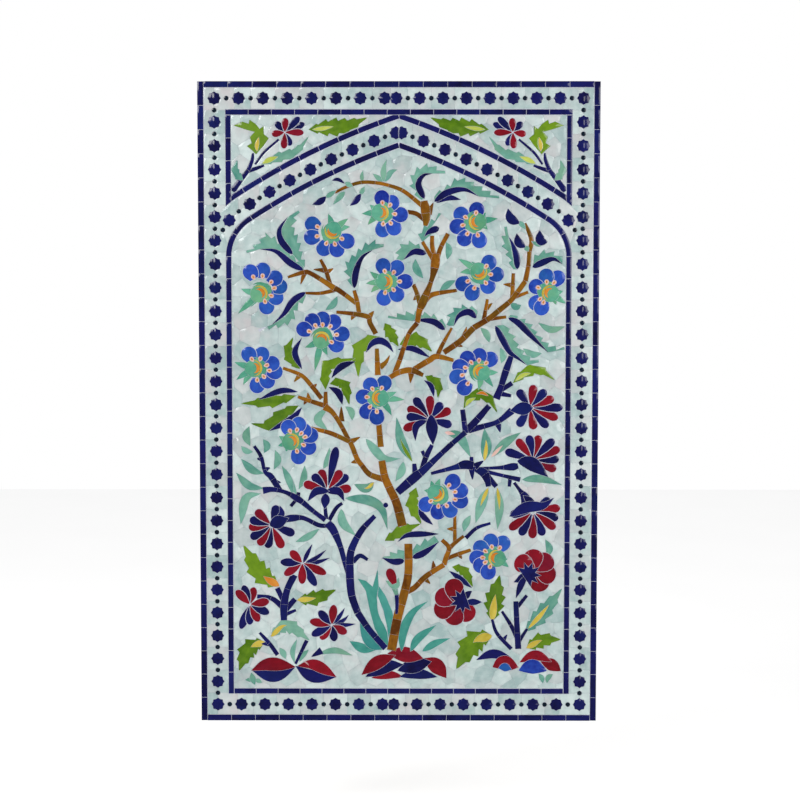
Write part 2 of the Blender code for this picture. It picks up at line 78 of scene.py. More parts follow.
class Value:
    """A number in a material: expressions on values add the Math nodes that work them out."""

    def __init__(self, shader: "Shader", socket: bpy.types.NodeSocket) -> None:
        """Keeps the shader that the socket is in."""
        self.shader = shader
        self.socket = socket

    def _math(self, operation: str, *values: "Value | float") -> "Value":
        """One Math node on the values."""
        return Value(self.shader, self.shader.node("Math", {"operation": operation}, dict(enumerate(values))))

    def __add__(self, other: "Value | float") -> "Value":
        """The sum."""
        return self._math("ADD", self, other)

    def __radd__(self, other: float) -> "Value":
        """The sum with a plain number first."""
        return self._math("ADD", other, self)

    def __sub__(self, other: "Value | float") -> "Value":
        """The difference."""
        return self._math("SUBTRACT", self, other)

    def __rsub__(self, other: float) -> "Value":
        """A plain number less this value."""
        return self._math("SUBTRACT", other, self)

    def __mul__(self, other: "Value | float") -> "Value":
        """The product."""
        return self._math("MULTIPLY", self, other)

    def __rmul__(self, other: float) -> "Value":
        """The product with a plain number first."""
        return self._math("MULTIPLY", other, self)

    def clamped(self) -> "Value":
        """The value held between 0 and 1."""
        return self._math("MINIMUM", self._math("MAXIMUM", self, 0.0), 1.0)

    def step(self, low: float, high: float) -> "Value":
        """0 below low, 1 above high and a straight rise between."""
        return ((self - low) * (1.0 / (high - low))).clamped()


class Shader:
    """A material's nodes, made by one method."""

    def __init__(self, name: str) -> None:
        """A new material with an empty tree.

        Args:
            name: The material's name.
        """
        self.material = bpy.data.materials.new(name)
        self.material.use_nodes = True
        self.tree = self.material.node_tree
        self.tree.nodes.clear()

    def node(
        self, kind: str, settings: dict | None = None, inputs: dict | None = None, output: int | str = 0
    ) -> bpy.types.NodeSocket:
        """Adds one node.

        Args:
            kind: The node's type, without its first words.
            settings: Its properties, set first.
            inputs: Values, sockets or numbers by the input's name or index.
            output: The output to hand back.

        Returns:
            The chosen output socket.
        """
        made = self.tree.nodes.new(f"ShaderNode{kind}")
        for key, setting in (settings or {}).items():
            setattr(made, key, setting)
        for key, given in (inputs or {}).items():
            source = given.socket if isinstance(given, Value) else given
            if isinstance(source, bpy.types.NodeSocket):
                self.tree.links.new(source, made.inputs[key])
            else:
                made.inputs[key].default_value = source
        return made.outputs[output]

    def value(self, *args: object, **settings: object) -> Value:
        """One node's output as a value."""
        return Value(self, self.node(*args, **settings))

    def mix(self, share: Value | float, first: object, second: object) -> bpy.types.NodeSocket:
        """Two colours mixed, with plain colours given as three numbers."""
        padded = [(*colour, 1.0) if isinstance(colour, tuple) else colour for colour in (first, second)]
        inputs = {0: share, 6: padded[0], 7: padded[1]}
        return self.node("Mix", {"data_type": "RGBA"}, inputs, 2)

    def noise(self, where: bpy.types.NodeSocket, scale: float, detail: float = 2.0) -> Value:
        """Noise from 0 to 1 at a place."""
        return self.value("TexNoise", None, {"Vector": where, "Scale": scale, "Detail": detail})

    def finish(self, principled: dict) -> bpy.types.Material:
        """Puts the shader on the output and hands back the material.

        Args:
            principled: The shader's inputs by name.

        Returns:
            The material.
        """
        surface = self.node("BsdfPrincipled", None, principled)
        output = self.tree.nodes.new("ShaderNodeOutputMaterial")
        self.tree.links.new(surface, output.inputs["Surface"])
        return self.material


# Finishes

CLAY = srgb(178, 142, 112)


@dataclass(frozen=True)
class Glaze:
    """Glaze on buff clay: deep where it pools and light where it runs thin, with brush strokes and waves."""

    slot: str
    deep: Colour
    light: Colour
    blush: Colour
    streak: float = 0.9
    variation: float = 0.5
    blushing: float = 0.25
    roughness: float = 0.14
    thin: float = 0.35
    drift: float = 0.0

    def material(self, name: str) -> bpy.types.Material:
        """The glaze as a material.

        Args:
            name: The finish's name.

        Returns:
            A material that reads Object coordinates, the tile's own map and its attributes.
        """
        shader = Shader(f"{name.lower()}_glaze")
        place = shader.node("TexCoord", output="Object")
        lay = shader.node("UVMap", {"uv_map": "lay"})
        chance = shader.node("Attribute", {"attribute_name": "chance"}, output="Vector")
        tone = shader.value("SeparateXYZ", None, {0: chance}, output=0)
        lean = shader.value("SeparateXYZ", None, {0: chance}, output=1)
        rim = shader.value("Attribute", {"attribute_name": "rim"}, output="Fac")
        drawn = shader.node("VectorMath", {"operation": "MULTIPLY"}, {0: lay, 1: (1.6, 7.0, 1.0)})
        moved = shader.node("VectorMath", {"operation": "ADD"}, {0: drawn, 1: chance})
        stroke = shader.noise(moved, 1.7, 3.0)
        pool = shader.noise(place, 42.0)
        speck = shader.noise(place, 420.0, 3.0)
        share = (
            0.5
            + (pool - 0.5) * (1.6 * self.variation)
            + (stroke - 0.5) * self.streak
            + (tone - 0.5) * self.variation
            + (speck - 0.5) * (0.4 * self.variation)
        )
        if self.drift:
            share = share + (shader.noise(place, 1.9) - 0.5) * self.drift
        colour = shader.mix(share.clamped(), self.deep, self.light)
        wash = (lean.step(0.55, 1.0) + shader.noise(place, 17.0).step(0.5, 0.72)) * self.blushing
        colour = shader.mix(wash.clamped(), colour, self.blush)
        arris = rim.step(0.15, 0.95)
        colour = shader.mix(arris * self.thin, colour, self.light)
        side = rim.step(1.02, 1.08)
        clay = shader.mix(speck, CLAY, tuple(0.6 * part for part in CLAY))
        colour = shader.mix(side, colour, clay)
        rough = self.roughness + (speck - 0.5) * 0.08 + side * 0.7
        height = pool * 0.7 + shader.noise(place, 150.0) * 0.18 + speck * 0.03
        normal = shader.node("Bump", None, {"Strength": 0.35, "Distance": 0.0012, "Height": height})
        return shader.finish({"Base Color": colour, "Roughness": rough, "Normal": normal})


@dataclass(frozen=True)
class Mortar:
    """Lime and cement mortar: pale, matt, sandy and slightly stained."""

    slot: str
    pale: Colour
    dark: Colour
    grain: float = 900.0
    relief: float = 0.0006

    def material(self, name: str) -> bpy.types.Material:
        """The mortar as a material.

        Args:
            name: The finish's name.

        Returns:
            A material that reads Object coordinates.
        """
        shader = Shader(name.lower())
        place = shader.node("TexCoord", output="Object")
        stain = shader.noise(place, 4.0, 8.0).step(0.3, 0.7)
        sand = shader.noise(place, self.grain, 3.0)
        share = stain * 0.45 + (sand - 0.5) * 1.6 + (shader.noise(place, 60.0, 5.0) - 0.5) * 0.9
        colour = shader.mix(share.clamped(), self.pale, self.dark)
        height = sand * 0.6 + shader.noise(place, self.grain / 8) * 0.4
        normal = shader.node("Bump", None, {"Strength": 0.6, "Distance": self.relief, "Height": height})
        return shader.finish({"Base Color": colour, "Roughness": 0.9 - sand * 0.1, "Normal": normal})


class Finish(Enum):
    """Every glaze and mortar on the panel."""

    NAVY = Glaze("navy_glaze", srgb(8, 8, 48), srgb(20, 22, 92), srgb(16, 36, 104), thin=0.6)
    NIGHT = Glaze("navy_glaze", srgb(4, 16, 26), srgb(14, 34, 52), srgb(12, 30, 44))
    COBALT = Glaze("cobalt_glaze", srgb(20, 40, 132), srgb(44, 82, 180), srgb(34, 104, 156), variation=0.8)
    RED = Glaze("red_glaze", srgb(94, 5, 18), srgb(140, 16, 34), srgb(104, 18, 48))
    OCHRE = Glaze("ochre_glaze", srgb(84, 44, 5), srgb(146, 92, 16), srgb(104, 92, 20), variation=0.8)
    AQUA = Glaze("aqua_glaze", srgb(70, 130, 118), srgb(118, 168, 150), srgb(120, 150, 112), variation=0.7)
    CALYX = Glaze("aqua_glaze", srgb(58, 134, 112), srgb(98, 166, 138), srgb(124, 160, 90), variation=0.7)
    TEAL = Glaze("aqua_glaze", srgb(36, 114, 106), srgb(76, 152, 138), srgb(54, 128, 140))
    GREEN = Glaze("green_glaze", srgb(68, 104, 14), srgb(106, 140, 28), srgb(100, 128, 58), variation=0.8)
    LIME = Glaze("green_glaze", srgb(144, 164, 52), srgb(188, 196, 96), srgb(172, 174, 70))
    YELLOW = Glaze("ochre_glaze", srgb(166, 144, 40), srgb(202, 182, 80), srgb(152, 162, 58))
    ORANGE = Glaze("ochre_glaze", srgb(178, 96, 20), srgb(208, 136, 54), srgb(186, 140, 60))
    PINK = Glaze("white_glaze", srgb(200, 152, 146), srgb(222, 192, 184), srgb(204, 176, 140))
    WHITE = Glaze(
        "white_glaze",
        srgb(150, 172, 171),
        srgb(197, 210, 208),
        srgb(190, 182, 184),
        streak=0.5,
        variation=0.7,
        blushing=0.4,
        drift=1.1,
        thin=0.1,
    )
    JOINT = Mortar("cement_bed", srgb(190, 193, 206), srgb(162, 164, 174), relief=0.0003)
    BED = Mortar("cement_bed", srgb(190, 184, 172), srgb(142, 136, 124), grain=420.0)


# Sizes and the arch


@dataclass(frozen=True)
class PanelSizes:
    """Driving sizes in metres, the same as the solids'."""

    width: float = 1.220
    height: float = 1.960
    bed: float = 0.022
    tile: float = 0.010
    gap: float = 0.0003
    outer_band: float = 0.018
    star_border: float = 0.066
    inner_band: float = 0.017
    haunch_radius: float = 0.133
    haunch_angle: float = math.radians(33.0)
    crown_angle: float = math.radians(19.5)
    crown_lap: float = 0.006

    @property
    def tile_back(self) -> float:
        """Where the tiles' backs lie."""
        return -(self.bed + self.gap)

    @property
    def tile_face(self) -> float:
        """Where the tiles' faces lie."""
        return self.tile_back - self.tile

    @property
    def band_inner(self) -> tuple[float, float]:
        """The outer band's inner edge, right and up."""
        return self.width / 2 - self.outer_band, self.height / 2 - self.outer_band

    @property
    def border_inner(self) -> tuple[float, float]:
        """The star border's inner edge, right and up."""
        return self.band_inner[0] - self.star_border, self.band_inner[1] - self.star_border

    @property
    def star_line(self) -> tuple[float, float]:
        """The middle line of the border's stars, right and up."""
        return self.band_inner[0] - self.star_border / 2, self.band_inner[1] - self.star_border / 2

    @property
    def field_half(self) -> tuple[float, float]:
        """The field's inner edge: its half width, and the height of its foot below the middle."""
        return self.border_inner[0] - self.inner_band, self.border_inner[1] - self.inner_band


SIZES = PanelSizes()
JOINT = 0.0012
MIRROR = (-1, 1)


class PointedArch:
    """A four-centred arch: a small haunch arc that turns from upright, then a wide crown arc."""

    def __init__(self, sizes: PanelSizes) -> None:
        """Solves the crown's radius, so that the two arcs meet smoothly and reach the middle.

        Args:
            sizes: The panel's sizes.
        """
        self.sizes = sizes
        self.side = sizes.field_half[0]
        self.haunch_radius = sizes.haunch_radius - sizes.inner_band / 2
        haunch_run = self.haunch_radius * (1 - math.sin(sizes.haunch_angle))
        run_share = math.sin(sizes.haunch_angle) - math.sin(sizes.crown_angle)
        self.crown_radius = (self.side - haunch_run) / run_share
        reach = self.crown_radius - self.haunch_radius
        self.haunch_x = -self.side + self.haunch_radius
        self.crown_x = self.haunch_x + reach * math.sin(sizes.haunch_angle)
        self.crown_z = -reach * math.cos(sizes.haunch_angle)
        depth = sizes.star_border + 2 * sizes.inner_band
        self.springing = sizes.field_half[1] + sizes.crown_lap - self._crown(depth, np.zeros(1))[0]

    def _crown(self, offset: float, across: Points) -> Points:
        """Height of the crown arc above the springing: its centre plus the root of radius² less run²."""
        return self.crown_z + np.sqrt((self.crown_radius + offset) ** 2 - (across - self.crown_x) ** 2)

    def top(self, offset: float = 0.0, across: float = 0.0) -> float:
        """Height of the crown arc on the panel, at a place left of the middle."""
        return self.springing + float(self._crown(offset, np.array([across]))[0])

    def line(self, offset: float, side: float | None = None, steps: int = 28) -> Points:
        """The whole arch from left to right, pushed out from the field's edge.

        The haunch is (centre − r·cos t, r·sin t) and the crown its own arc over even steps across.

        Args:
            offset: How far outside the field's edge.
            side: Where the left haunch starts across, or nothing for its springing.
            steps: Steps on each arc.

        Returns:
            Points on the panel.
        """
        radius = self.haunch_radius + offset
        start = 0.0 if side is None else math.acos(min(1.0, (self.haunch_x + side) / radius))
        turn = np.linspace(start, math.pi / 2 - self.sizes.haunch_angle, steps)
        haunch = np.column_stack([self.haunch_x - radius * np.cos(turn), radius * np.sin(turn)])
        across = np.linspace(haunch[-1, 0], 0.0, steps + 1)[1:]
        left = np.vstack([haunch, np.column_stack([across, self._crown(offset, across)])])
        left[:, 1] += self.springing
        return np.vstack([left, left[-2::-1] * MIRROR])


ARCH = PointedArch(SIZES)


def rectangle(left: float, foot: float, right: float, top: float) -> Points:
    """A rectangle from one corner to the opposite one."""
    return np.array([(left, foot), (right, foot), (right, top), (left, top)])


def field_outline(offset: float) -> Points:
    """The field's outline, pushed out by offset: upright sides, a level foot and the arch above."""
    side, foot = SIZES.field_half[0] + offset, -SIZES.field_half[1] - offset
    return np.vstack([[(side, foot), (-side, foot)], ARCH.line(offset)])


def spandrel_outline(shrink: float) -> Points:
    """The left spandrel inside its frame, drawn in by shrink.

    Args:
        shrink: How far in, in metres.

    Returns:
        Its corners in metres.
    """
    side, top = SIZES.field_half[0] - shrink, SIZES.field_half[1] - shrink
    arch = ARCH.line(SIZES.star_border + 2 * SIZES.inner_band + shrink, side)
    below = arch[(arch[:, 0] < 0) & (arch[:, 1] < top)]
    corner = (below[-1, 0] + (top - below[-1, 1]) / math.tan(SIZES.crown_angle), top)
    return np.vstack([[(-side, top)], below, [corner]])


# Outlines of tiles


def smooth(points: Points, steps: int) -> Points:
    """A Catmull-Rom curve through the points, each stretch cut in steps; widths run along with it.

    Args:
        points: The points it runs through.
        steps: Cuts of each stretch.

    Returns:
        Its points in order.
    """
    knots = points
    if len(knots) < 3:
        share = np.linspace(0, 1, steps + 1)[:, None]
        return knots[:1] * (1 - share) + knots[-1:] * share
    padded = np.vstack([2 * knots[0] - knots[1], knots, 2 * knots[-1] - knots[-2]])
    before, start, end, after = (padded[k : len(padded) - 3 + k, None] for k in range(4))
    share = (np.arange(steps) / steps)[None, :, None]
    runs = (
        start
        + share * (end - before) / 2
        + share**2 * (before - 2.5 * start + 2 * end - after / 2)
        + share**3 * (1.5 * (start - end) + (after - before) / 2)
    )
    return np.vstack([runs.reshape(-1, knots.shape[1]), knots[-1:]])


def sides(line: Points) -> Points:
    """Unit vectors across a line, a quarter turn from its mean direction at each point."""
    along = np.gradient(line[:, :2], axis=0)
    along /= np.linalg.norm(along, axis=1)[:, None] + TINY
    return np.column_stack([-along[:, 1], along[:, 0]])


def shares(line: Points) -> Points:
    """How far along the line each point lies, from 0 to 1."""
    run = np.concatenate([[0.0], np.cumsum(np.linalg.norm(np.diff(line[:, :2], axis=0), axis=1))])
    return run / run[-1]


def length_of(line: Points) -> float:
    """The line's length."""
    return float(np.sum(np.linalg.norm(np.diff(line[:, :2], axis=0), axis=1)))


def read_at(stops: Points, run: Points, values: Points) -> Points:
    """Each column of values that are known along a run, read at the stops."""
    return np.column_stack([np.interp(stops, run, column) for column in values.T])


def both_sides(middle: Points, across: Points) -> Points:
    """The ring round a line: down its one side and back up the other."""
    return np.vstack([middle - across, (middle + across)[::-1]])


def belly(share: Points, width: float, peak: float) -> Points:
    """Half a blade's width along it: width/2 · sin(π·s^k), with k set so that it is widest at the peak."""
    return width / 2 * np.sin(np.pi * share ** (math.log(0.5) / math.log(peak)))


def teeth_stops(teeth: int, lean: float) -> tuple[Points, Points]:
    """Shares of a line at each tooth's valley and point, and which of them are points."""
    stops = np.sort(np.concatenate([np.arange(1, teeth) / teeth, (np.arange(teeth) + lean) / teeth]))
    return stops, np.isclose(stops * teeth % 1, lean)


def leaf(points: Points, width: float, peak: float = 0.5, steps: int = 7) -> Points:
    """A pointed blade: the smoothed line set off to both sides by its belly."""
    line = smooth(points, steps)
    across = sides(line) * belly(shares(line), width, peak)[:, None]
    return np.vstack([line - across, (line + across)[-2:0:-1]])


def toothed(points: Points, width: float, teeth: int = 5, peak: float = 0.45) -> Points:
    """A blade with saw teeth: its belly a little fuller at each point and cut back in each valley.

    Args:
        points: Its midline.
        width: Its full width.
        teeth: How many teeth a side has.
        peak: Where it is widest, as a share of its run.

    Returns:
        Its outline.
    """
    line = smooth(points, 12)
    stops, tips = teeth_stops(teeth, 0.82)
    middle = read_at(stops, shares(line), line)
    half = belly(stops, width, peak) * np.where(tips, 1.12, 0.72)
    across = read_at(stops, shares(line), sides(line)) * half[:, None]
    return np.vstack([line[:1], middle - across, line[-1:], (middle + across)[::-1]])


def lobe(root: Points, tip: Points, width: float, shoulder: float = 0.62, foot: float = 0.3) -> Points:
    """A petal: its half width grows evenly from the foot to the shoulder, then closes as a half ellipse.

    Args:
        root: Where it starts.
        tip: Where it ends.
        width: Its full width.
        shoulder: Where it is widest, as a share of its length.
        foot: Its width at the root, as a share of the full one.

    Returns:
        Its outline.
    """
    close_share = shoulder + (1 - shoulder) * np.sin(np.linspace(0.3, math.pi / 2, 6))
    share = np.concatenate([np.linspace(0, shoulder, 4), close_share])
    rise = foot + (1 - foot) * np.sin(np.clip(share / shoulder, 0, 1) * math.pi / 2)
    close = np.sqrt(np.clip(1 - (np.clip(share - shoulder, 0, 1) / (1 - shoulder)) ** 2, 0, 1))
    half = width / 2 * np.where(share <= shoulder, rise, close)
    along = tip - root
    normal = np.array([-along[1], along[0]]) / np.linalg.norm(along)
    line = root + share[:, None] * along
    return np.vstack([line - half[:, None] * normal, (line + half[:, None] * normal)[-2::-1]])


def jagged(edge: Points, inner: Points, teeth: int, height: float) -> Points:
    """An edge with saw teeth that lean to its end: valleys drawn in, and points pushed out.

    Args:
        edge: The edge without its teeth.
        inner: The line that the teeth point away from.
        teeth: How many teeth.
        height: From valley to point.

    Returns:
        The toothed edge.
    """
    stops, tips = teeth_stops(teeth, 0.86)
    normal = sides(edge)
    line, away = (read_at(stops, shares(edge), values) for values in (edge, normal))
    towards = edge[len(edge) // 2] - inner[len(inner) // 2]
    away *= math.copysign(1.0, float(normal[len(normal) // 2] @ towards))
    room = np.linalg.norm(line - read_at(stops, shares(inner), inner), axis=1) * 0.8
    reach = np.where(tips, 0.55, -0.42) * np.minimum(room, height)
    return np.vstack([edge[:1], line + away * reach[:, None], edge[-1:]])


def disc(centre: Points, across: float, along: float, turn: float, count: int) -> Points:
    """An ellipse of points round a centre.

    Args:
        centre: Its middle.
        across: Its half width.
        along: Its half length.
        turn: Its turn in radians.
        count: How many points it has.

    Returns:
        Its outline.
    """
    angle = np.arange(count) * 2 * math.pi / count
    flat = np.column_stack([across * np.cos(angle), along * np.sin(angle)])
    cos, sin = math.cos(turn), math.sin(turn)
    return centre + flat @ np.array([[cos, sin], [-sin, cos]])


def arc(centre: Points, radius: float, facing: float, spread: float, count: int = 7) -> Points:
    """Points on an arc about a direction in degrees, rows counted down."""
    angle = np.radians(np.linspace(facing - spread / 2, facing + spread / 2, count))
    return centre + radius * np.column_stack([np.cos(angle), -np.sin(angle)])


def star(centre: Points, reach: float, notch: float = 0.84) -> Points:
    """An eight-pointed star, a little fuller than two crossed squares."""
    angle = np.arange(16) * math.pi / 8
    radius = np.where(np.arange(16) % 2 == 0, reach, notch * reach)
    return centre + radius[:, None] * np.column_stack([np.cos(angle), np.sin(angle)])


def counter_clockwise(outline: Points) -> Points:
    """The outline run counter-clockwise."""
    x, z = outline[:, 0], outline[:, 1]
    return outline if np.sum(x * np.roll(z, -1) - z * np.roll(x, -1)) > 0 else outline[::-1]


def grown(outline: Points, distance: float) -> Points:
    """The outline pushed out: each corner moves along the mean of its two edges' normals.

    Args:
        outline: Its corners.
        distance: How far out.

    Returns:
        The wider outline.
    """
    edge = np.roll(outline, -1, axis=0) - outline
    normal = np.column_stack([edge[:, 1], -edge[:, 0]])
    normal /= np.linalg.norm(normal, axis=1)[:, None] + TINY
    mean = normal + np.roll(normal, 1, axis=0)
    mitre = np.maximum(np.sum(mean * normal, axis=1), 0.5)[:, None]
    return outline + distance * mean / mitre


# The cartoon's place on the panel


@dataclass
class Cartoon:
    """Places columns and rows on the panel, with the bow and tilt of the counting taken out."""

    square: float
    anchor: tuple[float, float]
    middle: tuple[float, float]
    mirror: int = 1
    centre: tuple[float, float] = (400.0, 400.0)
    bow: float = 1.8e-7
    tilt: float = 3.9e-5

    def straight(self, squares: Points) -> Points:
        """Squares about the centre, grown by the bow times their distance squared, shrunk by the tilt."""
        flat = (np.asarray(squares, float) - self.centre) * (1, -1)
        bowed = flat * (1 + self.bow * np.sum(flat**2, axis=-1, keepdims=True))
        return bowed / (1 + self.tilt * flat[..., 1:])

    def place(self, squares: Points) -> Points:
        """Squares in metres on the panel."""
        offset = (self.straight(squares) - self.middle) * self.square
        return (np.array(self.anchor) + offset) * (self.mirror, 1)


# Tiles and the sheet they are laid in


@dataclass
class Tile:
    """One cut tile: its outline, finish and piece, the joint round it and the line it was drawn along."""

    outline: Points
    finish: Finish | None
    piece: str
    joint: float
    axis: Points


@dataclass
class Sheet:
    """Tiles laid in one region, earlier ones uncut, with ground pieces behind them."""

    region: Points
    seed: int
    tiles: list[Tile] = field(default_factory=list)
    grounds: list[Tile] = field(default_factory=list)
    arris: float = 0.0004
    chamfer: float = 0.0003
    smallest: float = 6e-6
    lean: float = 0.006
    sunk: float = 0.00012
    sinking: float = 0.0002
    deepest: float = 0.0006

    def lay(
        self,
        outline: Points,
        finish: Finish | None,
        piece: str,
        joint: float = JOINT,
        axis: Points | None = None,
    ) -> None:
        """Lays a tile.

        Args:
            outline: Its corners on the panel.
            finish: Its finish, or nothing to keep the place free.
            piece: The scene's piece it belongs to.
            joint: The joint that later tiles keep from it.
            axis: The line from its root to its tip, or nothing for its longest way.
        """
        ring = counter_clockwise(np.asarray(outline, float))
        self.tiles.append(Tile(ring, finish, piece, joint, self._axis(ring) if axis is None else axis))

    def fill(self, outline: Points, finish: Finish, piece: str, joint: float) -> None:
        """Lays a ground piece behind every tile, drawn in by half its joint."""
        ring = grown(counter_clockwise(np.asarray(outline, float)), -joint / 2)
        self.grounds.append(Tile(ring, finish, piece, joint, self._axis(ring)))

    @staticmethod
    def _axis(ring: Points) -> Points:
        """The longest way through an outline: its middle and the main direction of its corners.

        Args:
            ring: Its corners.

        Returns:
            Its middle and its direction, as two rows.
        """
        middle = ring.mean(axis=0)
        spread, ways = np.linalg.eigh(np.cov((ring - middle).T))
        reach = ways[:, 1] * math.sqrt(max(spread[1], 1e-9)) * 1.5
        return np.array([middle - reach, middle + reach])

    def _owners(self) -> tuple[Points, Points, Points]:
        """Cuts the plane along every outline and joint, and finds which tile each triangle belongs to.

        A triangle belongs to the earliest tile whose outline holds it, unless an earlier tile's joint does.

        Returns:
            Corners, triangles, and each triangle's tile.
        """
        rings = [ring for tile in self.tiles for ring in (tile.outline, grown(tile.outline, tile.joint))]
        rings += [tile.outline for tile in self.grounds] + [counter_clockwise(self.region)]
        sizes = np.array([len(ring) for ring in rings])
        ends = np.cumsum(sizes)
        faces = [list(range(end - size, end)) for end, size in zip(ends.tolist(), sizes.tolist())]
        corners = [Vector(point) for point in np.vstack(rings).tolist()]
        placed, _, cut, _, _, holders = delaunay_2d_cdt(corners, [], faces, 1, 1e-7, True)
        counts = np.array([len(held) for held in holders])
        keep = counts > 0
        held = np.fromiter(chain.from_iterable(holders), dtype=np.int64)
        starts = (np.cumsum(counts) - counts)[keep]
        tile_count, last, never = len(self.tiles), len(rings) - 1, len(rings)
        laid_ring = held < 2 * tile_count
        ground_ring = ~laid_ring & (held < last)
        first_tile, first_zone, first_ground = (
            np.minimum.reduceat(np.where(which, number, never), starts)
            for which, number in (
                (laid_ring & (held % 2 == 0), held // 2),
                (laid_ring & (held % 2 == 1), held // 2),
                (ground_ring, held - tile_count),
            )
        )
        inside = np.logical_or.reduceat(held == last, starts)
        owner = np.where(first_tile <= first_zone, first_tile, never)
        owner = np.where((first_tile == never) & (first_zone == never), first_ground, owner)
        laid = inside & (owner < never)
        triangles = np.array([list(face) for face in cut], dtype=np.int64)[keep][laid]
        owner = owner[laid]
        shown = np.array([tile.finish is not None for tile in self.tiles + self.grounds])[owner]
        return np.array([list(point) for point in placed]), triangles[shown], owner[shown]

    def _pieces(self, corners: Points, triangles: Points, owner: Points) -> tuple[Points, Points, Points]:
        """Parts each tile into connected pieces and drops crumbs.

        Labels spread over shared edges, each triangle taking the lowest label round it, until none changes.

        Args:
            corners: The sheet's corners.
            triangles: Its triangles.
            owner: Each triangle's tile.

        Returns:
            Triangles, their tiles and their connected pieces.
        """
        area = twice_areas(corners, triangles) / 2
        triangles = np.where((area < 0)[:, None], triangles[:, ::-1], triangles)
        pair = np.sort(np.stack([triangles, np.roll(triangles, -1, axis=1)], axis=2).reshape(-1, 2), axis=1)
        key = (np.repeat(owner, 3) * len(corners) + pair[:, 0]) * len(corners) + pair[:, 1]
        order = np.argsort(key, kind="stable")
        same = key[order][1:] == key[order][:-1]
        first, second = order[:-1][same] // 3, order[1:][same] // 3
        label = np.arange(len(triangles))
        while True:
            low = np.minimum(label[first], label[second])
            spread = label.copy()
            np.minimum.at(spread, first, low)
            np.minimum.at(spread, second, low)
            spread = spread[spread]
            if np.array_equal(spread, label):
                break
            label = spread
        names, label = np.unique(label, return_inverse=True)
        size = np.bincount(label, np.abs(area), len(names))
        keep = size[label] > self.smallest
        return triangles[keep], owner[keep], label[keep]

    def cut(self) -> "CutTiles":
        """Cuts every tile out and gives it its body.

        Each corner of a connected piece gets a point on the face, one on the lip a chamfer lower and one
        on the back, with rings of triangles between them along the piece's edges.

        Returns:
            The bodies of all tiles.
        """
        corners, triangles, owner = self._owners()
        triangles, owner, label = self._pieces(corners, triangles, owner)
        names, index = np.unique(np.repeat(label, 3) * len(corners) + triangles.ravel(), return_inverse=True)
        face = index.reshape(-1, 3)
        place = corners[names % len(corners)]
        count = len(names)
        tile_of, part_of = np.zeros((2, count), dtype=np.int64)
        tile_of[face.ravel()] = np.repeat(owner, 3)
        part_of[face.ravel()] = np.repeat(label, 3)
        edge, edge_tile = self._edges(face, owner, count)
        inner = place - self._push(place, face, edge)
        chance = np.random.default_rng(self.seed).uniform(0, 1, (int(label.max()) + 1, 3))
        level = SIZES.tile_face + self._depth(place, part_of, chance)
        top = np.column_stack([inner[:, 0], level, inner[:, 1]])
        lip = np.column_stack([place[:, 0], level + self.chamfer, place[:, 1]])
        back = np.column_stack([place[:, 0], np.full(count, SIZES.tile_back), place[:, 1]])
        first, second = edge.T
        faces = [face]
        for upper in (0, count):
            lower = upper + count
            faces.append(np.column_stack([first + lower, second + lower, second + upper]))
            faces.append(np.column_stack([first + lower, second + upper, first + upper]))
        faces.append(face[:, ::-1] + 2 * count)
        return CutTiles(
            points=np.concatenate([top, lip, back]),
            faces=np.concatenate(faces),
            face_tile=np.concatenate([owner, np.tile(edge_tile, 4), owner]),
            chance=chance[np.concatenate([label, np.tile(part_of[first], 4), label])],
            rim=np.repeat([0.0, 1.0, 2.0], count),
            lay=np.tile(self._own_map(place, tile_of), (3, 1)),
            tiles=self.tiles + self.grounds,
        )

    @staticmethod
    def _edges(face: Points, owner: Points, count: int) -> tuple[Points, Points]:
        """The edges that only one triangle has.

        Args:
            face: Each triangle's corners.
            owner: Each triangle's tile.
            count: How many corners there are.

        Returns:
            Each edge's two corners, and its tile.
        """
        run = np.stack([face, np.roll(face, -1, axis=1)], axis=2).reshape(-1, 2)
        key = run.min(axis=1) * count + run.max(axis=1)
        _, where, times = np.unique(key, return_inverse=True, return_counts=True)
        alone = times[where] == 1
        return run[alone], np.repeat(owner, 3)[alone]

    def _push(self, place: Points, face: Points, edge: Points) -> Points:
        """How far each corner on an edge moves in from it.

        It is the arris along the mean of its edges' normals, and less where a triangle would turn over.

        Args:
            place: Each corner's place.
            face: Each triangle's corners.
            edge: Each edge's two corners.

        Returns:
            Each corner's move.
        """
        way = place[edge[:, 1]] - place[edge[:, 0]]
        out = np.column_stack([way[:, 1], -way[:, 0]]) / (np.linalg.norm(way, axis=1)[:, None] + TINY)
        total = np.zeros_like(place)
        for end in edge.T:
            np.add.at(total, end, out)
        length = np.sum(total**2, axis=1)[:, None]
        push = np.where(length > 0, total * 2 / np.maximum(length, 1.2), 0.0) * self.arris
        ease = np.ones((len(place), 1))
        before = twice_areas(place, face)
        for _ in range(6):
            ease[face[twice_areas(place - push * ease, face) < 0.15 * before].ravel()] *= 0.5
        ease[face[twice_areas(place - push * ease, face) < 0.05 * before].ravel()] = 0.0
        return push * ease

    def _depth(self, place: Points, part_of: Points, chance: Points) -> Points:
        """How deep each corner lies below the level of the faces: its piece is sunk and leans by chance.

        Args:
            place: Each corner's place.
            part_of: Each corner's connected piece.
            chance: Each piece's three chances.

        Returns:
            Each corner's depth.
        """
        middle = np.zeros((len(chance), 2))
        np.add.at(middle, part_of, place)
        middle /= np.maximum(np.bincount(part_of, minlength=len(chance)), 1)[:, None]
        slope = (chance[:, :2] - 0.5) * self.lean
        sunk = self.sunk + chance[:, 2] * self.sinking
        depth = sunk[part_of] + np.sum((place - middle[part_of]) * slope[part_of], axis=1)
        return np.clip(depth, 0.0, self.deepest)

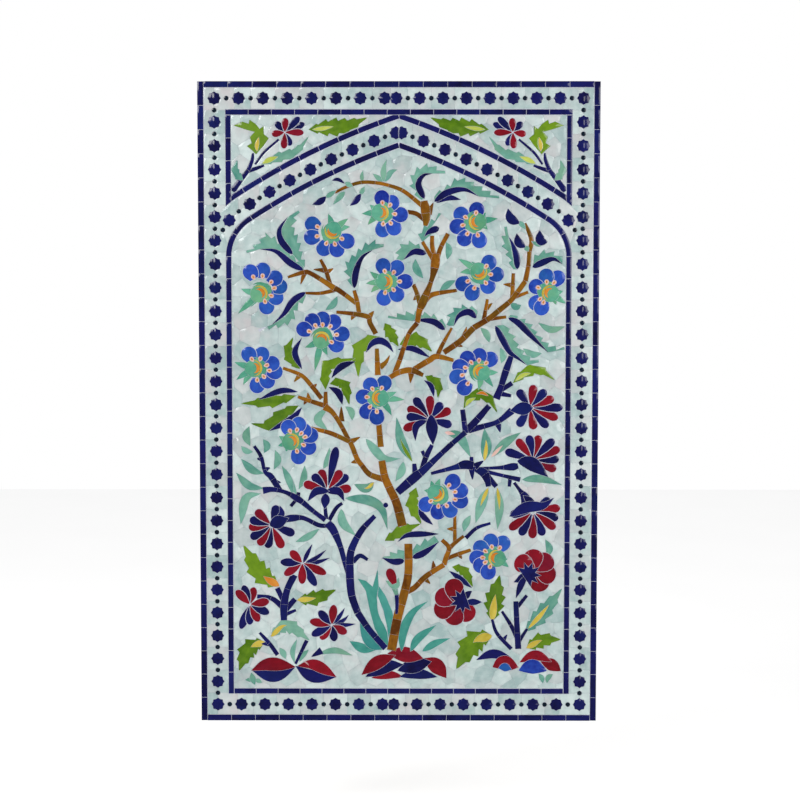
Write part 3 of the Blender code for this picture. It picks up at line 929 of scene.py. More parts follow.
    def _own_map(self, place: Points, tile_of: Points) -> Points:
        """Each corner's place on its tile's own map: along and across its axis, which is one long.

        Args:
            place: The corners.
            tile_of: Each corner's tile.

        Returns:
            Two columns, one row a corner.
        """
        axes = np.array([tile.axis for tile in self.tiles + self.grounds])[tile_of]
        along = axes[:, 1] - axes[:, 0]
        reach = np.linalg.norm(along, axis=1)[:, None]
        along /= reach
        off = (place - axes[:, 0]) / reach
        across = off[:, 1] * along[:, 0] - off[:, 0] * along[:, 1]
        return np.column_stack([np.sum(off * along, axis=1), across])


def twice_areas(place: Points, face: Points) -> Points:
    """Twice each triangle's signed area."""
    step, turn = place[face[:, 1]] - place[face[:, 0]], place[face[:, 2]] - place[face[:, 0]]
    return step[:, 0] * turn[:, 1] - step[:, 1] * turn[:, 0]


class Palette:
    """Every finish's material, made when it is first asked for."""

    def __init__(self) -> None:
        """Starts with no material."""
        self.made: dict[Finish, bpy.types.Material] = {}

    def material(self, finish: Finish) -> bpy.types.Material:
        """The finish's material."""
        if finish not in self.made:
            self.made[finish] = finish.value.material(finish.name)
        return self.made[finish]


PALETTE = Palette()


def make_mesh(name: str, points: Points, faces: Points, finishes: list[Finish]) -> bpy.types.Object:
    """Puts arrays into a new mesh object at the origin, which rides on the panel.

    Args:
        name: The piece's name.
        points: Its points in metres.
        faces: Its triangles, wound outwards.
        finishes: Its materials in order.

    Returns:
        The new object.
    """
    mesh = bpy.data.meshes.new(name)
    mesh.vertices.add(len(points))
    mesh.vertices.foreach_set("co", points.astype(np.float32).ravel())
    mesh.loops.add(faces.size)
    mesh.loops.foreach_set("vertex_index", faces.astype(np.int32).ravel())
    mesh.polygons.add(len(faces))
    mesh.polygons.foreach_set("loop_start", np.arange(0, faces.size, 3, dtype=np.int32))
    mesh.update(calc_edges=True)
    for finish in finishes:
        mesh.materials.append(PALETTE.material(finish))
    piece = bpy.data.objects.new(name, mesh)
    bpy.context.scene.collection.objects.link(piece)
    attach(piece, "root")
    LOG.info("%s: %d triangles", name, len(faces))
    return piece


# Pieces of several finishes: each piece gets one slot for every finish its tiles carry


@dataclass
class CutTiles:
    """The bodies of a sheet's tiles, ready to be shared out among the scene's pieces."""

    points: Points
    faces: Points
    face_tile: Points
    chance: Points
    rim: Points
    lay: Points
    tiles: list[Tile]

    def piece(self, name: str, nodes: tuple[str, ...] = ()) -> bpy.types.Object:
        """Makes one of the scene's pieces from its tiles.

        Args:
            name: The piece's name, as its tiles know it.
            nodes: The solids that it stands for.

        Returns:
            The new object.
        """
        mine = np.array([tile.piece == name for tile in self.tiles])
        finishes = list(dict.fromkeys(tile.finish for tile in self.tiles if tile.piece == name))
        slot_of = np.array([finishes.index(tile.finish) if tile.piece == name else 0 for tile in self.tiles])
        picked = mine[self.face_tile]
        used, faces = np.unique(self.faces[picked], return_inverse=True)
        faces = faces.reshape(-1, 3)
        made = make_mesh(name, self.points[used], faces, finishes)
        mesh = made.data
        mesh.polygons.foreach_set("material_index", slot_of[self.face_tile[picked]].astype(np.int32))
        own_map = self.lay[used][faces.ravel()]
        mesh.uv_layers.new(name="lay").uv.foreach_set("vector", own_map.astype(np.float32).ravel())
        chance = mesh.attributes.new("chance", "FLOAT_VECTOR", "FACE")
        chance.data.foreach_set("vector", self.chance[picked].astype(np.float32).ravel())
        rim = mesh.attributes.new("rim", "FLOAT", "POINT")
        rim.data.foreach_set("value", self.rim[used].astype(np.float32))
        if nodes:
            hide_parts(*nodes)
        return made


# Strips, stars and the white border


@dataclass(frozen=True)
class StripBand:
    """Edge strips cut from a long tile: half their width, the joint between them and their length."""

    half_width: float
    joint: float
    length: float = 0.072

    def strips(self, line: Points, trim: float = 0.0) -> list[Points]:
        """Cuts a line into strips of equal length: each is the line between two stops, set off to both sides.

        Args:
            line: The band's middle line.
            trim: How far both ends are cut short.

        Returns:
            Each strip's outline.
        """
        run, normal, total = shares(line), sides(line), length_of(line)
        count = max(1, round((total - 2 * trim) / self.length))
        stops = np.linspace(trim, total - trim, count + 1) / total
        gap = self.joint / 2 / total
        made = []
        for start, end in zip(stops + gap, stops[1:] - gap):
            at = np.concatenate([[start], run[(run > start) & (run < end)], [end]])
            across = read_at(at, run, normal)
            across *= self.half_width / np.linalg.norm(across, axis=1)[:, None]
            made.append(both_sides(read_at(at, run, line), across))
        return made


def apex_down(line: Points) -> Points:
    """An arch's left half, from its apex down."""
    return line[: len(line) // 2 + 1][::-1]


def along_run(line: Points, stops: Points) -> Points:
    """Points at the given runs along a line."""
    run = np.concatenate([[0.0], np.cumsum(np.linalg.norm(np.diff(line, axis=0), axis=1))])
    return read_at(stops, run, line)


@dataclass
class Border:
    """The outer band, the star border, the spandrels' frame and the field's band."""

    star_reach: float = 0.0202
    dot_radius: float = 0.0073
    star_joint: float = 0.0007
    ground_joint: float = 0.0006
    pair_gap: float = 0.035
    pair_room: float = 0.01
    column_steps: int = 26
    row_steps: int = 7
    row_end_steps: int = 8
    top_pitch: float = 0.0737
    foot_pitch: float = 0.0727
    arch_star_line: float = 0.046
    arch_steps: int = 7
    arch_pitch: float = 0.0706
    arch_last: float = 0.0800
    apex_half: float = 0.0090
    strip_joint: float = 0.0013
    strip_length: float = 0.068
    side_lap: float = 0.03
    line_steps: int = 60

    def build(self) -> None:
        """Lays and cuts everything outside the field and the spandrels."""
        half_x, half_z = SIZES.width / 2, SIZES.height / 2
        sheet = Sheet(rectangle(-half_x, -half_z, half_x, half_z), seed=11)
        self._outer_band(sheet)
        for outline in (field_outline(-JOINT), spandrel_outline(JOINT), spandrel_outline(JOINT) * MIRROR):
            sheet.lay(outline, None, "", 0.0)
        self._field_band(sheet)
        self._spandrel_band(sheet)
        self._stars(sheet)
        for cell in self._ground():
            sheet.fill(cell, Finish.WHITE, "border_ground_tiles", self.ground_joint)
        cut = sheet.cut()
        for band in ("outer_band", "spandrel_band", "field_band"):
            cut.piece(f"{band}_strips", (band,))
        cut.piece("border_stars")
        cut.piece("border_dots")
        cut.piece("border_ground_tiles", ("border_ground",))

    def _arch(self, offset: float, side: float | None = None) -> Points:
        """The arch's fine line at an offset from the field's edge."""
        return ARCH.line(offset, side, self.line_steps)

    def _inner_band(self) -> StripBand:
        """The strips of the two inner bands."""
        return StripBand(SIZES.inner_band / 2 - JOINT / 2, self.strip_joint, self.strip_length)

    def _outer_band(self, sheet: Sheet) -> None:
        """Lays the strips round the edge: the upright ones run through, the level ones between them.

        Args:
            sheet: The sheet that takes the strips.
        """
        half = SIZES.outer_band / 2
        x, z = SIZES.width / 2 - half, SIZES.height / 2 - half
        band = StripBand(half, self.strip_joint)
        for side in (-1, 1):
            foot, head = (side * x, -SIZES.height / 2), (side * x, SIZES.height / 2)
            upright = np.linspace(foot, head, self.line_steps)
            level = np.linspace((-x, side * z), (x, side * z), self.line_steps)
            for strip in band.strips(upright) + band.strips(level, half + self.strip_joint / 2):
                sheet.lay(strip, Finish.NAVY, "outer_band_strips", 0.0)

    def _field_band(self, sheet: Sheet) -> None:
        """Lays the strips up both sides of the field, over its arch and along its foot.

        Args:
            sheet: The sheet that takes the strips.
        """
        band, middle = self._inner_band(), SIZES.inner_band / 2
        side, foot = SIZES.field_half[0], -SIZES.field_half[1]
        arch = self._arch(middle)
        strips = []
        for left in (-1, 1):
            low, high = (left * (side + middle), foot - SIZES.inner_band), arch[0] * (-left, 1)
            strips += band.strips(np.linspace(low, high, 50))
        for half in (arch[: len(arch) // 2 + 1], arch[len(arch) // 2 :]):
            strips += band.strips(half)
        level = np.linspace((-side, foot - middle), (side, foot - middle), self.line_steps)
        for strip in strips + band.strips(level, self.strip_joint / 2):
            sheet.lay(strip, Finish.NAVY, "field_band_strips")

    def _spandrel_band(self, sheet: Sheet) -> None:
        """Lays the strips along the top, down both sides and over the arch, held inside the frame.

        Args:
            sheet: The sheet that takes the strips.
        """
        band, middle = self._inner_band(), SIZES.inner_band / 2
        side, top = SIZES.border_inner
        edge = self._arch(SIZES.star_border + SIZES.inner_band, side)
        arch = self._arch(SIZES.star_border + SIZES.inner_band + middle, side)
        strips = band.strips(np.linspace((-side, top - middle), (side, top - middle), self.line_steps))
        for left in (-1, 1):
            across = left * (side - middle)
            upright = np.linspace((across, top - SIZES.inner_band), (across, edge[0, 1]), 40)
            strips += band.strips(upright, self.strip_joint / 2)
        for half in (arch[: len(arch) // 2 + 1], arch[len(arch) // 2 :]):
            strips += band.strips(half)
        for strip in strips:
            held = np.clip(strip, (-side, -SIZES.height), (side, top))
            held[:, 1] = np.maximum(held[:, 1], np.interp(held[:, 0], edge[:, 0], edge[:, 1]))
            sheet.lay(held, Finish.NAVY, "spandrel_band_strips")

    def _heights(self) -> Points:
        """Heights of the side stars, from the top."""
        return np.linspace(SIZES.star_line[1], -SIZES.star_line[1], self.column_steps + 1)

    def _row(self, pitch: float) -> Points:
        """Places of a row's stars: an even run, a close pair, and an even run to the far corner."""
        first = -SIZES.star_line[0] + np.arange(self.row_steps + 1) * pitch
        rest = np.linspace(first[-1] + self.pair_gap, SIZES.star_line[0], self.row_end_steps + 1)
        return np.concatenate([first, rest])

    def _arch_stops(self) -> tuple[Points, Points]:
        """Runs from the apex down of the arch's stars, and of the dots below each of them."""
        even = self.apex_half + np.arange(self.arch_steps + 1) * self.arch_pitch
        stars = np.concatenate([even, [even[-1] + self.arch_last]])
        return stars, np.concatenate([(stars[1:] + stars[:-1]) / 2, [stars[-1] + self.arch_pitch / 2]])

    def _stars(self, sheet: Sheet) -> None:
        """Lays the stars and the dots between them, the pair at the apex first.

        Args:
            sheet: The sheet that takes the stars.
        """
        side, heights = SIZES.star_line[0], self._heights()
        stars, dots = [], []
        for left in (-1, 1):
            stars += [(left * side, height) for height in heights]
            dots += [(left * side, height) for height in (heights[1:] + heights[:-1]) / 2]
        for height, pitch in ((heights[0], self.top_pitch), (heights[-1], self.foot_pitch)):
            row = self._row(pitch)
            stars += [(across, height) for across in row[1:-1]]
            between = (row[1:] + row[:-1]) / 2
            dots += [(across, height) for across in between[np.diff(row) > self.pair_gap + self.pair_room]]
        half = apex_down(self._arch(self.arch_star_line))
        star_stops, dot_stops = self._arch_stops()
        for left in (1, -1):
            stars += list(along_run(half, star_stops[1:]) * (left, 1))
            dots += list(along_run(half, dot_stops) * (left, 1))
            apex = star(along_run(half, star_stops[:1])[0], self.star_reach)
            apex[:, 0] = np.minimum(apex[:, 0], -self.strip_joint / 2)
            sheet.lay(apex * (left, 1), Finish.NAVY, "border_stars", self.star_joint)
        for centre in stars:
            sheet.lay(star(centre, self.star_reach), Finish.NAVY, "border_stars", self.star_joint)
        for centre in dots:
            dot = disc(centre, self.dot_radius, self.dot_radius, 0.0, 10)
            sheet.lay(dot, Finish.NIGHT, "border_dots", self.star_joint)

    def _ground(self) -> list[Points]:
        """The white pieces between the stars: each spans from dot to dot on one side of the stars.

        Returns:
            Their outlines.
        """
        cells = []
        cuts = np.concatenate([[0.0], self._arch_stops()[1]])
        near, far = SIZES.inner_band + JOINT, SIZES.inner_band + SIZES.star_border - JOINT
        lines = [apex_down(self._arch(offset)) for offset in (near, self.arch_star_line, far)]
        for low, high in zip(lines, lines[1:]):
            for start, end in zip(cuts, cuts[1:]):
                at = np.linspace(start, end, 5)
                cell = np.vstack([along_run(low, at), along_run(high, at)[::-1]])
                cells += [cell, cell * MIRROR]
        (middle_x, middle_z), heights = SIZES.star_line, self._heights()
        outer_x, outer_z = SIZES.band_inner[0] - JOINT, SIZES.band_inner[1] - JOINT
        inner_x, inner_z = (outer - SIZES.star_border + 2 * JOINT for outer in (outer_x, outer_z))
        cuts = np.concatenate([[outer_z], (heights[1:] + heights[:-1]) / 2, [-outer_z]])
        for left in (-1, 1):
            for near, far in ((inner_x - self.side_lap, middle_x), (middle_x, outer_x)):
                for low, high in zip(cuts[1:], cuts):
                    cells.append(rectangle(left * near, low, left * far, high))
        for up, pitch in ((1, self.top_pitch), (-1, self.foot_pitch)):
            row = self._row(pitch)
            cuts = (row[1:] + row[:-1]) / 2
            for near, far in ((inner_z, middle_z), (middle_z, outer_z)):
                for low, high in zip(cuts, cuts[1:]):
                    cells.append(rectangle(low, up * near, high, up * far))
        return cells


# The picture's flowers


def points_of(words: str) -> Points:
    """Points written as words of column,row or column,row,width."""
    return np.array([[float(part) for part in word.split(",")] for word in words.split()])


def fact_of(word: str) -> Finish | float | str:
    """A finish by its name, a number, or a plain word."""
    if word in Finish.__members__:
        return Finish[word]
    return float(word) if word[0].isdigit() else word


def rows_of(table: str) -> list[tuple]:
    """Reads a table of the drawing, one row to a line.

    Args:
        table: Each row's finishes, numbers and names, then its points.

    Returns:
        Each row's facts, with its points last.
    """
    rows = []
    for line in table.strip().splitlines():
        facts = [word for word in line.split() if "," not in word]
        points = " ".join(word for word in line.split() if "," in word)
        rows.append((*map(fact_of, facts), points_of(points)))
    return rows


@dataclass
class Drawing:
    """Lays the picture's tiles on a sheet, drawn on the cartoon's squares."""

    sheet: Sheet
    cartoon: Cartoon
    thorn: float = 16.0
    thin_end: float = 3.0
    cut_length: float = 15.0
    core_share: float = 0.36

    def lay(
        self,
        outline: Points,
        finish: Finish,
        piece: str,
        joint: float = 0.0008,
        ends: tuple[Points, ...] = (),
    ) -> None:
        """Lays one outline of squares.

        Args:
            outline: Its corners.
            finish: Its finish.
            piece: The scene's piece it belongs to.
            joint: The joint that later tiles keep from it.
            ends: Its root and its tip, or nothing.
        """
        axis = self.cartoon.place(np.array(ends)) if ends else None
        self.sheet.lay(self.cartoon.place(outline), finish, piece, joint, axis)

    def blade(self, path: Points, width: float, finish: Finish, piece: str, peak: float = 0.45) -> None:
        """Lays a pointed blade along a path."""
        self.lay(leaf(path, width, peak), finish, piece, ends=(path[0], path[-1]))

    def saw(self, path: Points, width: float, finish: Finish, piece: str, teeth: int = 5) -> None:
        """Lays a blade with toothed edges."""
        self.lay(toothed(path, width, teeth), finish, piece, ends=(path[0], path[-1]))

    def cored(self, table: str) -> None:
        """Lays blades with a core of another colour, which runs part of the way from the root.

        Args:
            table: Each blade's piece, finish, core's finish, width, core's reach, teeth or 0 for a plain
                edge, and path.
        """
        for piece, finish, core, width, reach, teeth, path in rows_of(table):
            line = smooth(path, 6)
            inner = line[: max(3, round(len(line) * reach))]
            blade = leaf(inner, width * self.core_share, 0.4, steps=2)
            self.lay(blade, core, piece, 0.0006, (path[0], path[-1]))
            if teeth:
                self.saw(path, width, finish, piece, int(teeth))
            else:
                self.blade(path, width, finish, piece)

    def stroke(self, knots: Points, finish: Finish, piece: str) -> None:
        """Lays a stroke of varying width, cut across in pieces of about one length.

        A short stroke with a thin end is a thorn: it starts broad and narrows to its point.

        Args:
            knots: Column, row and width at each knot.
            finish: Its finish.
            piece: The scene's piece it belongs to.
        """
        line = smooth(knots, 8)
        total = length_of(line)
        run, normal = shares(line), sides(line)
        if total < self.thorn and knots[-1][2] <= self.thin_end:
            line[:, 2] = 1.7 * knots[0][2] * (1 - run) ** 0.8 + 0.5
        stops = np.linspace(0, 1, max(1, round(total / self.cut_length)) + 1)
        for start, end in zip(stops, stops[1:]):
            at = np.concatenate([[start], run[(run > start + 0.01) & (run < end - 0.01)], [end]])
            cut = read_at(at, run, line)
            across = read_at(at, run, normal) * (cut[:, 2:] / 2)
            ring = both_sides(cut[:, :2], across)
            self.lay(ring, finish, piece, 0.0005, (cut[0, :2], cut[-1, :2]))


# A blue flower's rings about its heart: radius, spread in degrees, width and finish

FAN_RINGS = (
    (5.0, 170, 3.4, Finish.ORANGE),
    (8.0, 180, 2.4, Finish.YELLOW),
    (11.2, 185, 3.4, Finish.CALYX),
)


@dataclass(frozen=True)
class FanFlower:
    """A blue flower seen from the side: petals round a heart, striped rings and a spiked aqua calyx."""

    node: str
    heart: str
    petals: str
    spikes: str
    petal_radius: float = 6.6
    petal_width: float = 15.4
    petal_back: float = 9.0
    heart_radius: float = 9.4
    ring_back: float = 4.0
    stamen_back: float = 7.0
    stamen_least: float = 10.0
    stamen_width: float = 4.4
    petal_least: float = 5.0
    calyx_longer: float = 2.2
    spike_width: float = 6.4

    def draw(self, drawing: Drawing) -> None:
        """Lays the flower's tiles from its heart outwards.

        Args:
            drawing: The cartoon it is laid in.
        """
        piece = f"{self.node}_tiles"
        heart = points_of(self.heart)[0]
        away = points_of(self.petals) - heart
        reach = np.linalg.norm(away, axis=1)
        way = away / reach[:, None]
        facing = way.mean(axis=0) / np.linalg.norm(way.mean(axis=0))
        for along, length in zip(way, reach):
            spot = heart + along * max(length - self.stamen_back, self.stamen_least)
            turn = math.atan2(along[1], along[0])
            stamen = lobe(spot - along * 3.0, spot + along * 2.6, self.stamen_width, 0.6, 0.2)
            drawing.lay(disc(spot, 1.5, 0.9, turn, 8), Finish.ORANGE, piece, 0.0001)
            drawing.lay(stamen, Finish.PINK, piece, 0.0004)
        degrees = math.degrees(math.atan2(-facing[1], facing[0]))
        for radius, spread, width, finish in FAN_RINGS:
            line = arc(heart - self.ring_back * facing, radius, degrees, spread)
            drawing.lay(leaf(line, width, steps=2), finish, piece, 0.0002)
        turn = math.atan2(facing[1], facing[0])
        body = disc(heart - facing * 1.2, self.heart_radius + self.calyx_longer, self.heart_radius, turn, 14)
        drawing.lay(body, Finish.CALYX, piece, 0.0005)
        cross = facing[0] * way[:, 1] - facing[1] * way[:, 0]
        for index in np.argsort(np.arctan2(cross, way @ facing)):
            root = heart + way[index] * max(reach[index] - self.petal_back, self.petal_least)
            tip = heart + way[index] * (reach[index] + self.petal_radius)
            petal = lobe(root, tip, self.petal_width, 0.5, 0.6)
            drawing.lay(petal, Finish.COBALT, piece, 0.0016, (root, tip))
        for tip in points_of(self.spikes):
            root = heart - facing * 2.0
            bend = (root + tip) / 2 - facing * 1.5
            drawing.blade(np.array([root, bend, tip]), self.spike_width, Finish.CALYX, piece)


@dataclass(frozen=True)
class Spray:
    """Petals in red and navy spread from one root."""

    node: str
    root: str
    tips: str
    _: KW_ONLY
    width: float = 8.3
    shoulder: float = 0.6
    foot: float = 0.12
    start: float = 0.06
    joint: float = 0.0018

    @property
    def piece(self) -> str:
        """The scene's piece."""
        return f"{self.node}_tiles"

    def lay_petals(self, drawing: Drawing) -> None:
        """Lays the petals, each tip written as column,row and r for red or n for navy.

        Args:
            drawing: The cartoon it is laid in.
        """
        root = points_of(self.root)[0]
        for word in self.tips.split():
            tip = points_of(word[:-1])[0]
            finish = Finish.RED if word[-1] == "r" else Finish.NAVY
            start = root + (tip - root) * self.start
            petal = lobe(start, tip, self.width, self.shoulder, self.foot)
            drawing.lay(petal, finish, self.piece, self.joint, (start, tip))


@dataclass(frozen=True)
class Carnation(Spray):
    """Red and navy petals by turns, spread from a navy cup of blades, each with its width."""

    cup: tuple[tuple[float, str], ...] = ()
    _: KW_ONLY
    width: float = 8.8
    shoulder: float = 0.76
    foot: float = 0.1
    start: float = 0.12
    joint: float = 0.0019

    def draw(self, drawing: Drawing) -> None:
        """Lays the cup, then the petals."""
        for width, path in self.cup:
            drawing.blade(points_of(path), width, Finish.NAVY, self.piece, 0.42)
        self.lay_petals(drawing)


@dataclass(frozen=True)
class StarryFlower(Spray):
    """Pointed petals in red and navy round a small heart, with navy prongs."""

    prongs: tuple[str, ...] = ()
    _: KW_ONLY
    prong_width: float = 4.2

    def draw(self, drawing: Drawing) -> None:
        """Lays the petals from the centre, then the prongs."""
        self.lay_petals(drawing)
        for prong in self.prongs:
            drawing.blade(points_of(prong), self.prong_width, Finish.NAVY, self.piece, 0.4)


@dataclass(frozen=True)
class Rose:
    """Five round red petals with a thistle of navy spikes and blades at its heart."""

    node: str
    centre: str
    petals: str
    thistle: str
    blades: tuple[str, ...]
    radius: float = 9.6
    spikes: int = 13
    spike_spread: float = 230.0
    spike_reach: float = 12.5
    spike_foot: float = 6.8
    blade_width: float = 6.5

    def draw(self, drawing: Drawing) -> None:
        """Lays the thistle and its blades, then the petals, each turned away from the centre.

        Args:
            drawing: The cartoon it is laid in.
        """
        piece = f"{self.node}_tiles"
        centre, heart = points_of(self.centre)[0], points_of(self.thistle)[0]
        turns = np.linspace(-self.spike_spread / 2, self.spike_spread / 2, self.spikes)
        angle = math.atan2(*(centre - heart)[::-1]) + np.radians(turns)
        reach = np.where(np.arange(self.spikes) % 2 == 0, self.spike_reach, self.spike_foot)[:, None]
        spikes = heart + np.column_stack([np.cos(angle), np.sin(angle)]) * reach
        drawing.lay(spikes, Finish.NAVY, piece, 0.0012)
        for path in self.blades:
            drawing.blade(points_of(path), self.blade_width, Finish.NAVY, piece)
        for petal in points_of(self.petals):
            along = (petal - centre) / np.linalg.norm(petal - centre)
            root, tip = centre + along * 1.5, petal + along * self.radius * 0.85
            drawing.lay(lobe(root, tip, self.radius * 2.0, 0.6, 0.3), Finish.RED, piece, 0.0014, (root, tip))


# The picture's drawing, in columns and rows of the cartoon's squares; a third number is a width

# Blue flowers: the heart, the petals' tips and the calyx's spikes

FAN_FLOWERS = {
    "top": ("384,211", "382,195 393,200 402,213 395,227 383,229", "362,212 370,203 368,223"),
    "shoulder_left": ("331,232", "311,222 310,236 323,248 337,249 348,240", "328,212 348,217 350,225"),
    "far_left": ("261,291", "249,270 262,268 275,276 280,285 276,297 266,307", "240,288 237,313 250,306"),
    "middle_left": ("388,280", "383,263 398,265 407,280 398,294 384,298", "370,270 366,282 371,291"),
    "shoulder_right": ("475,221", "478,207 461,212 457,225 465,238 481,240", "487,211 499,217 489,228"),
    "middle_right": ("482,273", "491,260 499,273 490,286 473,293 463,283", "459,257 473,260 461,271"),
    "far_right": ("549,291", "560,276 548,274 537,285 537,303 543,308", "565,290 568,303 558,304"),
    "branch_left": ("322,336", "302,328 311,319 322,317 334,320 343,333 337,345", "304,347 327,355 314,371"),
    "waist_left": ("256,368", "247,353 261,353 272,363 275,372 267,382 256,387", "233,362 235,380 242,385"),
    "trunk": ("377,398", "385,382 370,384 362,397 366,413 377,419", "397,392 405,400 392,416"),
    "waist_right": ("480,370", "493,358 481,354 468,357 460,366 457,377 465,389", "500,372 495,387 480,390"),
    "low_left": ("293,441", "287,427 298,424 304,431 311,436 309,449 298,459", "278,437 277,447 285,453"),
    "low_right": ("440,497", "455,482 463,492 463,503 452,513 439,515 426,507", "432,482 441,480 425,492"),
    "foot_right": ("495,559", "505,544 492,542 481,549 477,560 481,568 489,575", "510,569 509,561"),
}

# Carnations: the root, the petals' tips, and the cup's blades with their widths

CARNATIONS = {
    "middle": (
        "431,420",
        "404,430r 407,417n 408,408r 415,398n 431,396r 443,403n 452,410r 453,426n",
        ((12, "432,415 433,430 434,446"), (7, "428,421 417,427 416,442")),
    ),
    "right": (
        "532,408",
        "520,390n 536,385r 548,390n 556,398r 565,408n 560,419r 550,428n 536,430r 520,427n",
        ((13, "535,408 524,409 512,411"),),
    ),
    "right_upper": (
        "535,461",
        "507,452n 519,440r 531,436n 541,436r 556,440n 562,449r 561,460n 558,471r",
        ((14, "519,462 534,465 550,478"),),
    ),
    "right_lower": (
        "535,513",
        "512,516n 511,531r 522,537n 534,540r 545,537n 557,530r 560,520n 562,509r 552,500n",
        ((11, "511,518 528,509 545,507 556,499"), (8, "536,509 531,502 525,497")),
    ),
    "left": (
        "327,492",
        "303,485r 312,476n 320,471r 336,448n 341,472r 348,477n 351,490r",
        ((8, "329,493 316,493 307,503"), (8, "325,493 338,493 344,503"), (9, "325,495 325,502 324,511")),
    ),
    "far_left": (
        "271,527",
        "276,507n 255,512r 249,521n 248,529r 250,540n 258,547r 267,550n 282,550r 294,536n",
        ((13, "269,527 277,524 288,520"), (6, "274,522 281,516 279,507")),
    ),
}

# Starry flowers: the root, the petals' tips and the prongs

STARRY_FLOWERS = {
    "left": (
        "302,565",
        "290,553r 280,564n 284,577r 302,586r 316,588n 326,576r",
        ("303,565 307,556 312,546", "305,565 316,560 326,552", "305,566 318,564 330,560"),
    ),
    "far_left": (
        "250,606",
        "236,592r 243,587n 254,589r 269,603r 269,615n 259,623r 250,626n 241,630n",
        (),
    ),
    "low": (
        "332,627",
        "334,607r 319,613n 310,623r 312,637n 321,641r 335,643n 347,635r",
        ("333,626 340,618 345,610", "334,627 346,627 356,626", "334,628 344,622 349,617"),
    ),
}

# Roses: the centre, the petals, the thistle's heart and its blades

ROSES = {
    "centre_right": (
        "457,605",
        "455,589 444,599 443,612 455,619 468,615",
        "463,603",
        ("466,604 474,604 483,604", "464,602 469,596 473,593"),
    ),
    "right": (
        "536,572",
        "524,565 535,559 547,563 549,576 541,585",
        "530,576",
        ("529,576 523,585 517,600", "528,574 521,581 515,584"),
    ),
}

# The tree and the stems: column, row and width at each knot

